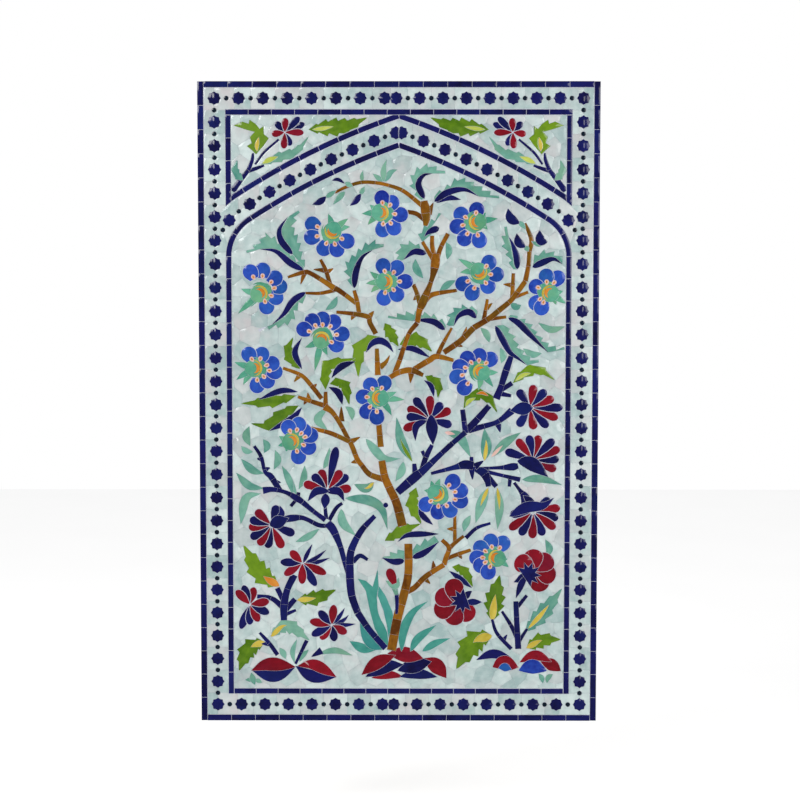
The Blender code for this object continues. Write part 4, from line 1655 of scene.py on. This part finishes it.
TREE = {
    "trunk_foot": """
    392,652,9 398,620,9 405,595,8.5 409,575,8 409,546,8
    407,594,6 415,590,5.5 425,580,5.5 435,573,5 445,567,5
    445,567,5 447,560,5 450,550,4.5 443,542,4
    450,551,4.5 455,546,4 465,538,3
    456,546,4 456,517,3
    456,531,3 448,531,2.5
    447,561,4 460,556,4 472,552,3
    435,573,3.5 434,563,2.5
    425,580,3.5 431,586,2.5
    460,556,3 463,561,2.5
    """,
    "trunk_middle": """
    403,528,9 397,505,8.5 390,490,8 385,478,7.5 382,462,7
    384,481,6 370,476,5.5 362,467,5 357,460,5 353,450,5 350,443,5
    350,443,4.5 330,434,4.5 310,429,3.5
    350,443,3.5 360,438,2.5
    358,462,3.5 351,464,2.5
    349,442,4.5 340,425,4.5 332,413,5 324,407,7.5
    325,407,5 325,392,3.5
    341,422,3.5 341,407,2.5
    324,406,5 305,400,4 297,397,3
    308,400,3 307,393,2.5
    306,400,3 303,405,2.5
    321,399,4.5 310,385,4.5 300,375,4 282,368,3
    299,375,3 293,382,2.5
    312,388,3 316,384,2.5
    """,
    "trunk_neck": """
    381,448,6 379,425,5.5
    """,
    "crown_limbs": """
    378,375,6 377,348,4
    389,378,5 400,372,5.5 412,370,6 424,375,4
    412,371,4 411,383,3
    380,367,3.5 386,362,3.5 390,355,3
    395,373,5 400,360,5 405,345,4.5 410,332,4.5 418,322,5
    418,322,5 420,310,6 424,300,8.5 432,280,4.5 436,263,9 437,252,7
    434,258,4.5 423,240,3.5
    435,254,5 433,244,4.5 433,234,4
    438,257,5 442,245,4.5 449,232,4.5
    421,305,4.5 418,293,4.5 414,283,4
    418,295,3 414,299,2.5
    425,300,6 434,293,5 458,289,3.2
    415,369,5.5 430,360,6 438,356,5.5 455,360,3.5
    438,356,4.5 443,345,4 453,327,2.5
    445,352,5.5 462,340,6 475,327,6
    475,327,6 490,318,5.5 500,310,5.5
    500,310,5.5 512,300,5 520,290,5 527,280,5
    527,280,5 530,265,4.5 531,250,4.5
    531,250,4.5 533,240,4.5 530,230,4 526,222,3
    457,343,3.5 464,346,2.5
    465,338,3.5 468,326,2.5
    485,321,4.5 489,298,3
    488,307,3 494,302,2.5
    492,318,4 508,316,3
    514,296,4.5 515,272,3.5
    514,284,3 505,283,2.5
    514,297,4 530,291,3
    """,
    "left_limb": """
    376,333,5 370,322,5 368,316,5 355,313,4.5 336,311,3
    369,316,3.5 374,310,2.5
    354,313,3.5 351,319,2.5
    359,312,4.5 357,300,4.5 354,289,3.5
    356,302,4.5 340,290,5 334,287,6
    334,287,6 325,281,5 310,272,4.5 303,271,4.5 287,276,2.5
    304,271,3 300,283,2.5
    330,284,4.5 325,268,4 320,258,3
    325,269,3 313,268,2.5
    326,271,3 333,267,2.5
    334,289,4 320,292,3.5 305,292,2.5
    """,
    "crown_spray": """
    426,224,4 427,216,8 426,207,9.5 425,199,6
    425,218,4.5 417,212,4.5 408,210,4
    425,206,4.5 405,190,4 390,184,3.5 375,181,3.5 360,181,3.5 345,186,3 335,191,2.5
    429,212,4 434,201,2.5
    """,
    "stem_left": """
    386,650,6 370,632,6 358,615,7
    358,615,7 352,598,7.5 350,581,8
    350,581,8 350,560,7.5 353,548,7 362,532,6 375,518,4.5
    353,564,5 360,558,4.5 368,562,3
    349,577,5.5 345,565,5 340,548,5.5 333,532,8 327,525,8
    327,528,4 318,527,4.5 303,520,4.5 292,520,7 284,521,6.5
    325,522,5 314,514,4.5 302,504,5.5 296,500,6.5 285,494,4 272,491,5 262,492,7
    295,502,3.6 290,508,3.4
    297,499,4.5 298,494,3.4
    279,492,5.5 270,478,6 264,473,3.8 260,458,3.8 253,447,3
    273,483,3 280,484,2.5
    264,471,3 269,469,2.5
    260,460,3 256,460,2.5
    326,521,4 324,503,3
    329,522,4 336,510,4 342,505,3
    """,
    "stem_right": """
    398,494,7.5 414,480,9.5 424,472,7.5 440,457,5.5 454,444,5.5
    416,477,6 415,465,4
    422,472,4.5 427,458,5.5 433,446,4
    427,460,4 423,452,3.5
    432,475,3 455,469,5 466,466,9 475,467,8
    473,466,4.5 473,458,3.5
    473,468,4 474,481,3
    476,468,4 485,462,3
    475,470,4 485,474,9 489,482,6.5 490,488,5
    487,475,6 498,488,5
    488,473,4 505,477,3.5 522,481,5
    512,479,4 511,488,3.2
    476,470,3 500,469,3.5 514,468,7.5 520,467,5
    516,484,3 522,492,4 527,499,9 526,506,6
    454,444,5 467,433,5.5
    467,434,5.5 464,410,5
    467,432,6.5 478,421,7 491,406,5.5
    470,431,6.5 485,427,5.5 500,422,5 514,411,7.5
    500,425,3.5 502,433,2.5
    498,399,7.5 503,386,6 508,370,7 513,356,5
    502,391,4.5 514,383,5
    503,394,5 513,396,3.2
    467,540,4 478,530,3.5 492,525,2.5
    """,
    "stem_foot_left": """
    284,622,6 284,608,7.5 287,592,6.5 294,577,7
    282,608,6 271,600,4.5 257,598,4
    277,590,5 283,602,5
    295,601,5 286,611,6
    296,612,2.5 286,616,4
    278,656,4 270,645,4 260,634,2.5
    270,645,3 262,645,2.5
    307,642,4 296,665,2.5
    322,652,4 312,658,2.5
    """,
    "stem_foot_right": """
    519,650,6 518,630,5.5 517,603,5
    528,597,3 519,608,4
    503,613,2.5 512,627,4 518,640,4
    528,630,2.5 520,642,4
    493,621,2.5 498,635,3.5 512,650,4
    503,643,3 508,636,2.5
    """,
}

STEMS = ("stem_left", "stem_right", "stem_foot_left", "stem_foot_right")

# Navy sickles, each with a toothed aqua blade along its outer side: the sickle's path, then the blade's edge

SICKLES = (
    ("292,253 281,240 279,228 287,216", "304,266 300,250 297,237 292,226 298,209"),
    ("303,269 290,262 275,250 259,248", "303,266 283,246 267,233 260,240 246,252"),
    ("305,291 292,300 283,313 271,324", "305,295 295,308 289,322 257,329"),
    ("354,287 356,270 362,256 373,248", "352,285 345,265 353,255 371,240 384,245"),
    ("427,252 415,250 404,258", "422,250 415,241 400,245 397,262"),
    ("440,226 430,230 425,235", "423,240 421,230 430,222 442,212"),
    ("425,197 419,183 424,174 433,172", "422,198 412,184 415,170 429,164 446,172"),
    ("435,200 448,191 465,188 480,195", "435,195 450,184 460,177 475,183 500,197"),
    ("519,268 518,255 514,243 510,235", "515,268 508,250 504,240 508,225"),
    ("534,266 545,261 555,258 564,263", "535,262 540,252 552,251 564,258"),
    ("446,329 435,321 420,319 413,320", "447,325 435,315 410,312 388,317"),
    ("478,317 470,311 460,315 455,325", "479,310 465,305 451,312 450,325"),
    ("510,317 520,322 533,335 550,352", "512,314 530,322 540,335 552,346 567,349"),
    ("497,325 505,340 512,352 520,358 529,365", "505,324 515,335 519,345 530,357 541,362"),
    ("413,560 425,555 440,544", "413,553 425,543 437,540"),
    ("405,563 394,564 382,560", "405,553 394,555 383,560"),
)

# Leaves: finish, width, where it is widest, and the path from root to tip; green ones are toothed

LEAVES = """
    NAVY 6 0.45 301,369 294,352 301,337
    GREEN 9 0.45 299,369 287,352 292,337
    NAVY 6 0.45 297,392 280,391 257,400
    GREEN 9 0.4 295,396 270,402 240,404
    NAVY 7 0.45 301,408 290,420 268,432
    GREEN 10 0.45 298,406 283,414 264,427 250,424
    NAVY 7 0.5 331,378 340,367 355,361
    GREEN 10 0.5 325,390 325,368 336,363 355,358
    NAVY 7 0.5 328,387 338,393 342,405
    GREEN 9 0.5 329,384 343,383 349,405
    NAVY 7 0.5 366,352 372,343 380,340 388,344 394,352
    GREEN 11 0.45 380,336 360,346 358,377
    GREEN 9 0.45 385,322 390,331 399,346
    NAVY 6 0.5 398,349 413,348 431,357
    GREEN 11 0.5 400,344 418,339 433,351
    NAVY 5 0.5 425,380 432,386 435,397
    GREEN 8 0.5 426,376 439,384 439,398
    NAVY 6 0.5 420,507 423,517 434,527
    GREEN 10 0.5 417,489 413,506 422,526
    NAVY 6 0.5 398,544 410,537 440,536
    GREEN 9 0.5 385,543 403,533 421,526
    NAVY 6 0.5 450,573 460,580 473,590
    GREEN 8 0.5 453,569 465,573 474,589
    ORANGE 3 0.5 478,394 484,393 490,396
    LIME 4 0.5 467,407 470,402 477,398
    GREEN 9 0.5 465,409 470,399 482,394 492,400 499,413
    LIME 4 0.5 517,381 525,375 533,373
    GREEN 8.5 0.5 515,383 525,374 540,369 557,380
    NAVY 6 0.45 437,201 448,196 462,198
    AQUA 6 0.4 384,180 384,168 387,158
    AQUA 6 0.4 385,180 391,171 398,168
    AQUA 5 0.4 383,180 378,176 373,172
    AQUA 4 0.4 363,180 362,175 363,169
    AQUA 6 0.4 345,190 339,196 333,203
    AQUA 8 0.5 424,277 417,267 416,257
    AQUA 7 0.5 448,258 450,248 447,240
    AQUA 7 0.5 337,295 333,303 325,309
    AQUA 7 0.5 512,302 518,306 523,304
    AQUA 7 0.5 457,279 449,283 440,291
    AQUA 7 0.5 540,322 553,329 567,326
    AQUA 7 0.5 525,348 534,354 544,353
    AQUA 7 0.5 502,347 505,355 503,363
    AQUA 7 0.5 482,327 488,333 491,342
    AQUA 8 0.5 327,408 317,420 327,431
    AQUA 7 0.5 345,407 351,412 352,421
    AQUA 7 0.5 295,544 307,539 319,531
    AQUA 7 0.5 547,541 551,550 548,559
    AQUA 7 0.5 465,534 467,526 472,517
    AQUA 8 0.4 524,481 543,480 564,486
    AQUA 8 0.5 248,427 245,437 249,447
    AQUA 7 0.5 262,440 266,447 263,454
    AQUA 6 0.5 240,447 245,452 252,453
    AQUA 8 0.5 263,475 251,471 240,460
    AQUA 8 0.5 263,490 248,487 235,474
    AQUA 9 0.5 260,495 245,500 240,526
    AQUA 7 0.5 273,471 277,461 274,451
    AQUA 7 0.5 281,467 288,481 292,496
    AQUA 7 0.5 298,491 303,480 304,467
    AQUA 6 0.5 290,477 291,487 296,496
    AQUA 8 0.45 404,463 402,473 396,483
    AQUA 9 0.4 366,440 376,452 385,460 401,460
    AQUA 10 0.4 345,500 368,502 382,511 388,532
    AQUA 9 0.4 341,511 343,525 356,538
    AQUA 7 0.45 323,470 328,460 329,449
    AQUA 6 0.5 317,656 335,652 353,657
    TEAL 10 0.5 386,651 371,645 360,622
    TEAL 9 0.5 376,652 363,650 350,643
    TEAL 9 0.4 402,653 404,633 413,615 429,603
    TEAL 8 0.4 411,653 419,640 437,627
    TEAL 7 0.4 423,653 436,645 451,640
    AQUA 6 0.5 256,685 254,680 252,673
    AQUA 4 0.5 256,681 251,680 246,680
    AQUA 4 0.5 255,680 259,681 263,683
    AQUA 6 0.5 286,660 284,655 280,649
    AQUA 5 0.5 295,664 293,653 297,641
    AQUA 5 0.5 300,663 303,657 309,651
    AQUA 5 0.5 543,683 542,678 539,674
    AQUA 5 0.5 547,683 548,678 553,674
"""

# Leaves with a core of another colour: piece, finish, core, width, core's reach, teeth and path

CORED_LEAVES = """
    small_leaves AQUA YELLOW 10 0.6 0 490,489 483,505 477,525
    small_leaves AQUA YELLOW 9 0.6 0 499,489 501,508 499,531
    small_leaves AQUA PINK 10 0.4 0 446,433 461,438 472,458
    small_leaves AQUA YELLOW 11 0.7 0 486,462 488,446 486,429
    small_leaves AQUA PINK 9 0.5 0 493,458 507,444 523,433
    small_leaves AQUA GREEN 10 0.6 0 413,463 402,443 397,418
    small_leaves AQUA YELLOW 9 0.6 0 374,484 366,490 354,486
"""

FOOT_LEAVES = """
    leaf_foot_left_tiles GREEN ORANGE 20 0.45 5 279,588 260,575 243,547
    leaf_foot_right_tiles GREEN YELLOW 20 0.6 5 493,623 496,600 501,577
    leaf_low_left_tiles GREEN YELLOW 18 0.5 5 265,643 249,650 240,671
"""

TOOTHED_LEAVES = """
    small_leaves GREEN YELLOW 24 0.55 5 493,637 474,644 457,670
    small_leaves AQUA YELLOW 14 0.55 5 271,638 287,627 310,642
    small_leaves GREEN YELLOW 15 0.55 4 527,649 543,641 561,640
    small_leaves GREEN YELLOW 15 0.55 4 297,602 316,600 336,592
"""

# The serrated leaf's vein and blade

SERRATED_LEAF = ("529,630 541,617 550,606", "526,633 545,613 563,590")

# The two teal blades left of the trunk's foot: the left one ends in two tips and has a pale vein

FOOT_BLADE_VEIN = "378,598 381,614 388,632"

FOOT_BLADES = {
    "left": "358,581 366,583 373,589 378,572 379,588 377,600 380,617 388,635 389,650 "
    "382,643 375,630 370,612 366,593",
    "right": "379,588 386,598 393,614 396,632 394,646 391,650 388,633 384,613 378,598",
}

# Navy buds, each with its aqua cup: the bud's width and path, then the cup's path

BUDS = (
    (6.5, "326,195 320,200 312,203", "325,196 330,193 336,189"),
    (6.5, "361,192 356,199 350,204", "360,193 362,190 365,185"),
    (3.6, "332,179 338,178 345,182", "345,181 349,183 353,185"),
    (9.5, "521,222 512,217 509,207", "519,220 523,223 527,228"),
    (8.5, "527,246 520,241 518,232", "526,245 528,247 530,250"),
    (9.5, "549,241 542,239 541,229", "546,240 540,243 533,240"),
)

BERRY = (386.0, 507.0)
RED_BUD = "395,586 389,571"
RED_BUD_CUP = "386,583 396,588 399,580"
RED_BUD_NECK = "393,585,8 395,590,6 397,597,3.5"
RED_BUD_STALK = "397,596,4 397.5,606,3.5 397,616,2.5"

# Hillocks of blades: finish, width and path

HILLOCKS = {
    "hillock_far_left": """
    RED 13 252,671 270,665 296,668
    NAVY 13 253,671 275,676 296,668
    """,
    "hillock_left": """
    RED 11 298,667 315,666 337,678
    NAVY 12 296,667 313,677 337,678
    """,
    "hillock_middle": """
    RED 13 362,676 378,664 396,657
    NAVY 13 366,678 386,668 404,666
    RED 15 388,655 405,656 424,660
    NAVY 15 398,672 414,667 432,663
    RED 15 424,660 438,668 447,679
    NAVY 10 400,678 418,675 438,678
    RED 8 372,679 390,676 404,678
    """,
    "hillock_right": """
    COBALT 8 499,669 505,668 512,670
    RED 15 493,668 504,664 519,668
    NAVY 9 477,661 494,655 514,660
    """,
    "hillock_far_right": """
    COBALT 14 519,671 533,667 547,671
    RED 10 520,663 536,656 552,662
    RED 12 541,662 552,665 561,671
    """,
}

# The spandrel's ornament: blades with piece, finish, width, teeth and path, then outline, stems and flower

SPANDREL_BLADES = """
    acanthus YELLOW 4 0 257,151 257,145 259,137
    long_leaf LIME 4 0 313,129 322,128 334,126
    long_leaf GREEN 17 6 309,129 328,127 348,125 368,117
    leaf_edges LIME 5 0 262,163 270,159 278,156
    leaf_edges AQUA 10 5 261,164 278,157 296,151 309,136
    leaf_edges AQUA 9 3 243,180 235,172 237,160
"""
SPANDREL_ACANTHUS = (
    "256,154 252,150 247,146 252,143 250,137 255,132 247,130 234,126 243,122 "
    "249,124 250,120 256,124 260,129 264,126 264,134 269,138 264,145"
)
SPANDREL_ACANTHUS_TIP = 7
SPANDREL_STEMS = """
    232,191,6 240,180,5 248,170,4
    248,170,4 252,160,3.5 253,153,2
    247,171,4 256,168,3.5 264,165,2
    255,164,2 264,152,2.5 279,139,2
"""
SPANDREL_FLOWER = ("285,132", "286,118r 272,134r 284,148r 304,132r 276,122n 291,145n 300,117n 305,123n")


@dataclass
class Ground:
    """White ground pieces: a honeycomb with every corner moved a little, held to a region."""

    cell: float = 0.055
    jitter: float = 0.30
    joint: float = 0.0004
    row_step: float = 0.866
    corner_reach: float = 0.577
    corner_step: tuple[float, float] = (0.5, 0.289)

    def lay(self, sheet: Sheet, piece: str, seed: int) -> None:
        """Fills the region's box with hexagons, six corners round each centre of a triangular grid.

        Args:
            sheet: The sheet to fill.
            piece: The scene's piece.
            seed: Seed of the chances.
        """
        low, high = sheet.region.min(axis=0) - self.cell, sheet.region.max(axis=0) + self.cell
        columns = int((high[0] - low[0]) / self.cell) + 1
        rows = int((high[1] - low[1]) / (self.cell * self.row_step)) + 1
        rng = np.random.default_rng(seed)
        moves = rng.uniform(-1, 1, (2 * rows + 6, 2 * columns + 6, 2)) * self.cell * self.jitter / 2
        angle = math.pi / 6 + np.arange(6) * math.pi / 3
        hexagon = self.cell * self.corner_reach * np.column_stack([np.cos(angle), np.sin(angle)])
        grid = self.cell * np.array(self.corner_step)
        for row in range(rows):
            for column in range(columns):
                place = ((column + (row % 2) / 2) * self.cell, row * self.cell * self.row_step)
                corners = low + place + hexagon
                across, up = np.round((corners - low) / grid).astype(int).T + 3
                corners += moves[up % len(moves), across % moves.shape[1]]
                sheet.fill(corners, Finish.WHITE, piece, self.joint)


@dataclass
class FieldPicture:
    """The flowering tree in the field."""

    square: float = 0.0030118
    anchor: tuple[float, float] = (0.0, -0.0498951)
    middle: tuple[float, float] = (-0.8, -21.7)
    bud_cup: float = 5.0
    berry: float = 2.6
    red_bud: float = 9.5
    red_bud_cup: float = 7.0
    sickle: float = 6.6
    sickle_peak: float = 0.3
    tooth_pitch: float = 9.0
    tooth_height: float = 4.2
    saw_spread: float = 1.35
    vein: float = 4.5
    serrated: float = 16.0
    foot_vein: float = 4.6

    def build(self) -> None:
        """Lays and cuts the whole field."""
        sheet = Sheet(field_outline(-JOINT), seed=23)
        drawing = Drawing(sheet, Cartoon(self.square, self.anchor, self.middle))
        flowers = [
            kind(f"{family}_{name}", *row)
            for kind, family, table in (
                (FanFlower, "fan_flower", FAN_FLOWERS),
                (Carnation, "carnation", CARNATIONS),
                (StarryFlower, "star_flower", STARRY_FLOWERS),
                (Rose, "rose", ROSES),
            )
            for name, row in table.items()
        ]
        for flower in flowers:
            flower.draw(drawing)
        self._buds(drawing)
        for name, strokes in TREE.items():
            finish = Finish.NAVY if name in STEMS else Finish.OCHRE
            for (knots,) in rows_of(strokes):
                drawing.stroke(knots, finish, f"{name}_tiles")
        self._leaves(drawing)
        self._foot(drawing)
        Ground().lay(sheet, "field_ground_tiles", 5)
        cut = sheet.cut()
        nodes = [flower.node for flower in flowers]
        nodes += [*TREE, *HILLOCKS, "field_ground", "foot_blade_left", "foot_blade_right"]
        nodes += ["leaf_serrated_right", "leaf_foot_left", "leaf_foot_right", "leaf_low_left"]
        for node in nodes:
            cut.piece(f"{node}_tiles", (node,))
        for name in ("buds", "sickle_leaves", "small_leaves"):
            cut.piece(name)

    def _buds(self, drawing: Drawing) -> None:
        """Lays the navy buds on aqua cups, the berry and the red bud with its cup and stalk.

        Args:
            drawing: The cartoon it is laid in.
        """
        for width, bud, cup in BUDS:
            drawing.blade(points_of(bud), width, Finish.NAVY, "buds")
            drawing.blade(points_of(cup), self.bud_cup, Finish.AQUA, "buds")
        drawing.lay(disc(BERRY, self.berry, self.berry, 0.0, 8), Finish.NAVY, "buds")
        drawing.lay(lobe(*points_of(RED_BUD), self.red_bud, 0.6, 0.5), Finish.RED, "buds")
        drawing.lay(leaf(points_of(RED_BUD_CUP), self.red_bud_cup), Finish.AQUA, "buds")
        drawing.stroke(points_of(RED_BUD_NECK), Finish.AQUA, "buds")
        drawing.stroke(points_of(RED_BUD_STALK), Finish.NAVY, "buds")

    def _leaves(self, drawing: Drawing) -> None:
        """Lays the sickles with their aqua blades, and the small leaves.

        Args:
            drawing: The cartoon it is laid in.
        """
        for sickle, edge in SICKLES:
            path, outer = points_of(sickle), smooth(points_of(edge), 4)
            drawing.blade(path, self.sickle, Finish.NAVY, "sickle_leaves", self.sickle_peak)
            inner = smooth(path, 4)
            count = max(3, round(length_of(outer) / self.tooth_pitch))
            teeth = jagged(outer, inner, count, self.tooth_height)
            drawing.lay(np.vstack([teeth, inner[::-1]]), Finish.AQUA, "sickle_leaves")
        for finish, width, peak, path in rows_of(LEAVES):
            if finish is Finish.GREEN:
                drawing.saw(path, width * self.saw_spread, finish, "small_leaves", 4)
            else:
                drawing.blade(path, width, finish, "small_leaves", peak)
        drawing.cored(CORED_LEAVES)

    def _foot(self, drawing: Drawing) -> None:
        """Lays the leaves and blades round the foot, and the hillocks.

        Args:
            drawing: The cartoon it is laid in.
        """
        drawing.cored(FOOT_LEAVES)
        vein, edge = (points_of(words) for words in SERRATED_LEAF)
        drawing.blade(vein, self.vein, Finish.YELLOW, "leaf_serrated_right_tiles")
        drawing.saw(edge, self.serrated, Finish.AQUA, "leaf_serrated_right_tiles")
        pale = leaf(points_of(FOOT_BLADE_VEIN), self.foot_vein)
        drawing.lay(pale, Finish.WHITE, "foot_blade_left_tiles", 0.0006)
        for side, outline in FOOT_BLADES.items():
            drawing.lay(points_of(outline), Finish.TEAL, f"foot_blade_{side}_tiles")
        drawing.cored(TOOTHED_LEAVES)
        for node, blades in HILLOCKS.items():
            for finish, width, path in rows_of(blades):
                drawing.blade(path, width, finish, f"{node}_tiles", 0.5)


@dataclass
class SpandrelPicture:
    """One spandrel's flower and leaves; the right one mirrors the left."""

    side: str
    mirror: int
    square: float = 0.00299225
    anchor: tuple[float, float] = (-0.345611, 0.826576)
    middle: tuple[float, float] = (-115.553, 269.288)

    def build(self) -> None:
        """Lays and cuts the spandrel."""
        sheet = Sheet(spandrel_outline(JOINT) * (self.mirror, 1), seed=31 + self.mirror)
        drawing = Drawing(sheet, Cartoon(self.square, self.anchor, self.middle, self.mirror))
        flower = f"spandrel_flower_{self.side}"
        StarryFlower(flower, *SPANDREL_FLOWER, width=6.8, shoulder=0.66).draw(drawing)
        for name, finish, width, teeth, path in rows_of(SPANDREL_BLADES):
            if teeth:
                drawing.saw(path, width, finish, self._piece(name), int(teeth))
            else:
                drawing.blade(path, width, finish, self._piece(name))
        acanthus = points_of(SPANDREL_ACANTHUS)
        tip = acanthus[SPANDREL_ACANTHUS_TIP]
        drawing.lay(acanthus, Finish.GREEN, self._piece("acanthus"), ends=(acanthus[0], tip))
        for (knots,) in rows_of(SPANDREL_STEMS):
            drawing.stroke(knots, Finish.NAVY, self._piece("stems"))
        Ground().lay(sheet, self._piece("ground"), 7)
        cut = sheet.cut()
        for node in ("flower", "acanthus", "long_leaf", "ground"):
            cut.piece(self._piece(node), (f"spandrel_{node}_{self.side}",))
        cut.piece(self._piece("stems"))
        cut.piece(self._piece("leaf_edges"))

    def _piece(self, name: str) -> str:
        """The name of this side's piece."""
        return f"spandrel_{name}_{self.side}_tiles"


# The bed and the joints


@dataclass
class Bed:
    """The cast mortar slab and the mortar that fills the joints between the tiles."""

    joint_depth: float = 0.0009
    joint_lap: float = 0.0002
    bed_gap: float = 0.0001
    edge_step: float = 0.0010
    bow: float = 0.0004
    columns: int = 60
    rows: int = 96

    def build(self) -> None:
        """Makes the joints' mortar and the slab."""
        face, back = SIZES.tile_face + self.joint_depth, SIZES.tile_back - self.joint_lap
        make_mesh("joint_mortar", *self._slab(face, back, self.edge_step, 24, 38), [Finish.JOINT])
        slab = self._slab(SIZES.tile_back + self.bed_gap, 0.0, self.bow, self.columns, self.rows)
        bed = make_mesh("mortar_slab", *slab, [Finish.BED])
        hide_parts("mortar_bed")

    def _slab(self, face: float, back: float, inset: float, columns: int, rows: int) -> tuple[Points, Points]:
        """A closed slab wrapped as one grid.

        The front and the rear are grids of u across and v up, from -1 to 1. The edge is drawn in by small
        waves, a sum of two sines of u and v, and a wall of quads joins the two rims.

        Args:
            face: How far forward its front lies.
            back: How far forward its rear lies.
            inset: How far the waves draw the edge in.
            columns: Steps across.
            rows: Steps up.

        Returns:
            Points and triangles.
        """
        across = np.linspace(-1, 1, columns + 1)
        up = np.linspace(-1, 1, rows + 1)
        u, v = np.meshgrid(across, up)
        wave = 0.5 + 0.25 * np.sin(23 * v + 5 * u) + 0.25 * np.sin(41 * u + 11 * v + 1.3)
        x = u * (SIZES.width / 2 - inset * wave * np.abs(u) ** 8)
        z = v * (SIZES.height / 2 - inset * wave * np.abs(v) ** 8)
        front = np.stack([x, np.full_like(x, face), z], axis=-1).reshape(-1, 3)
        rear = np.stack([x, np.full_like(x, back), z], axis=-1).reshape(-1, 3)
        index = np.arange((rows + 1) * (columns + 1)).reshape(rows + 1, columns + 1)
        corners = [index[:-1, :-1], index[:-1, 1:], index[1:, 1:], index[1:, :-1]]
        cell = np.stack(corners, axis=-1).reshape(-1, 4)
        count = index.size
        rim = np.concatenate([index[0, :-1], index[:-1, -1], index[-1, :0:-1], index[:0:-1, 0]])
        after = np.roll(rim, -1)
        wall = np.column_stack([rim + count, after + count, after, rim])
        quads = np.vstack([cell, cell[:, ::-1] + count, wall])
        return np.vstack([front, rear]), np.vstack([quads[:, :3], quads[:, [0, 2, 3]]])


# View and light


@dataclass(frozen=True)
class Lamp:
    """A soft square light: where it stands, its side and its power."""

    name: str
    place: tuple[float, float, float]
    side: float
    power: float

    def build(self) -> None:
        """Makes the lamp, turned to the panel's middle."""
        light = bpy.data.lights.new(self.name, "AREA")
        light.shape = "SQUARE"
        light.size = self.side
        light.energy = self.power
        lamp = bpy.data.objects.new(self.name, light)
        lamp.location = self.place
        lamp.rotation_euler = (-Vector(self.place)).to_track_quat("-Z", "Y").to_euler()
        bpy.context.scene.collection.objects.link(lamp)


@dataclass
class Studio:
    """The camera at the photograph's angle, a pale floor below the hung panel and soft even light."""

    camera_place: tuple[float, float, float] = (0.0223, -5.0, 0.3227)
    camera_turn: tuple[float, float, float] = (math.pi / 2 - 0.06194, -0.00034, 0.00372)
    lens: float = 73.24
    sensor: float = 36.0
    floor_height: float = -1.32
    floor_reach: float = 9.0
    floor_glow: float = 0.52
    world_light: float = 0.48
    mirror_light: float = 0.10
    lamps: tuple[Lamp, ...] = (
        Lamp("key_light", (-3.4, -3.6, 3.0), 2.2, 125.0),
        Lamp("fill_light", (3.6, -3.4, 1.2), 2.6, 80.0),
    )

    def build(self) -> None:
        """Makes the camera, the world, the lamps and the floor."""
        scene = bpy.context.scene
        scene.view_settings.view_transform = "Standard"
        camera = bpy.data.cameras.new("camera")
        camera.lens = self.lens
        camera.sensor_width = self.sensor
        stand = bpy.data.objects.new("camera", camera)
        stand.location = self.camera_place
        stand.rotation_euler = self.camera_turn
        scene.collection.objects.link(stand)
        scene.camera = stand
        for lamp in self.lamps:
            lamp.build()
        self._world(scene)
        self._floor()

    def _world(self, scene: bpy.types.Scene) -> None:
        """A white surround that lights the panel evenly and shows dim in its glaze.

        Args:
            scene: The scene that takes the world.
        """
        world = bpy.data.worlds.new("surround")
        world.use_nodes = True
        tree = world.node_tree
        background = tree.nodes["Background"]
        background.inputs["Color"].default_value = (1.0, 1.0, 1.0, 1.0)
        path = tree.nodes.new("ShaderNodeLightPath")
        mirrored = tree.nodes.new("ShaderNodeMix")
        mirrored.inputs["A"].default_value = self.world_light
        mirrored.inputs["B"].default_value = self.mirror_light
        seen = tree.nodes.new("ShaderNodeMix")
        seen.inputs["B"].default_value = 1.0
        tree.links.new(path.outputs["Is Glossy Ray"], mirrored.inputs["Factor"])
        tree.links.new(path.outputs["Is Camera Ray"], seen.inputs["Factor"])
        tree.links.new(mirrored.outputs["Result"], seen.inputs["A"])
        tree.links.new(seen.outputs["Result"], background.inputs["Strength"])
        scene.world = world

    def _floor(self) -> None:
        """A wide level plane in matt white."""
        reach = self.floor_reach
        points = np.array([(-reach, -reach, 0), (reach, -reach, 0), (reach, reach, 0), (-reach, reach, 0)])
        points = points + (0.0, 0.0, self.floor_height)
        mesh = bpy.data.meshes.new("floor")
        mesh.from_pydata(points.tolist(), [], [(0, 1, 2, 3)])
        shader = Shader("floor_paint")
        place = shader.node("TexCoord", output="Object")
        shade = shader.mix(shader.noise(place, 1.5) * 0.3, srgb(250, 250, 250), srgb(240, 240, 240))
        glow = {"Emission Color": shade, "Emission Strength": self.floor_glow}
        mesh.materials.append(shader.finish({"Base Color": shade, "Roughness": 0.9, **glow}))
        floor = bpy.data.objects.new("floor", mesh)
        floor.visible_glossy = False
        bpy.context.scene.collection.objects.link(floor)


def main() -> None:
    """Builds the panel from its bed to its picture."""
    logging.basicConfig(level=logging.INFO, format="%(name)s: %(message)s")
    Studio().build()
    Bed().build()
    Border().build()
    FieldPicture().build()
    SpandrelPicture("left", 1).build()
    SpandrelPicture("right", -1).build()


if __name__ == "__main__":
    main()
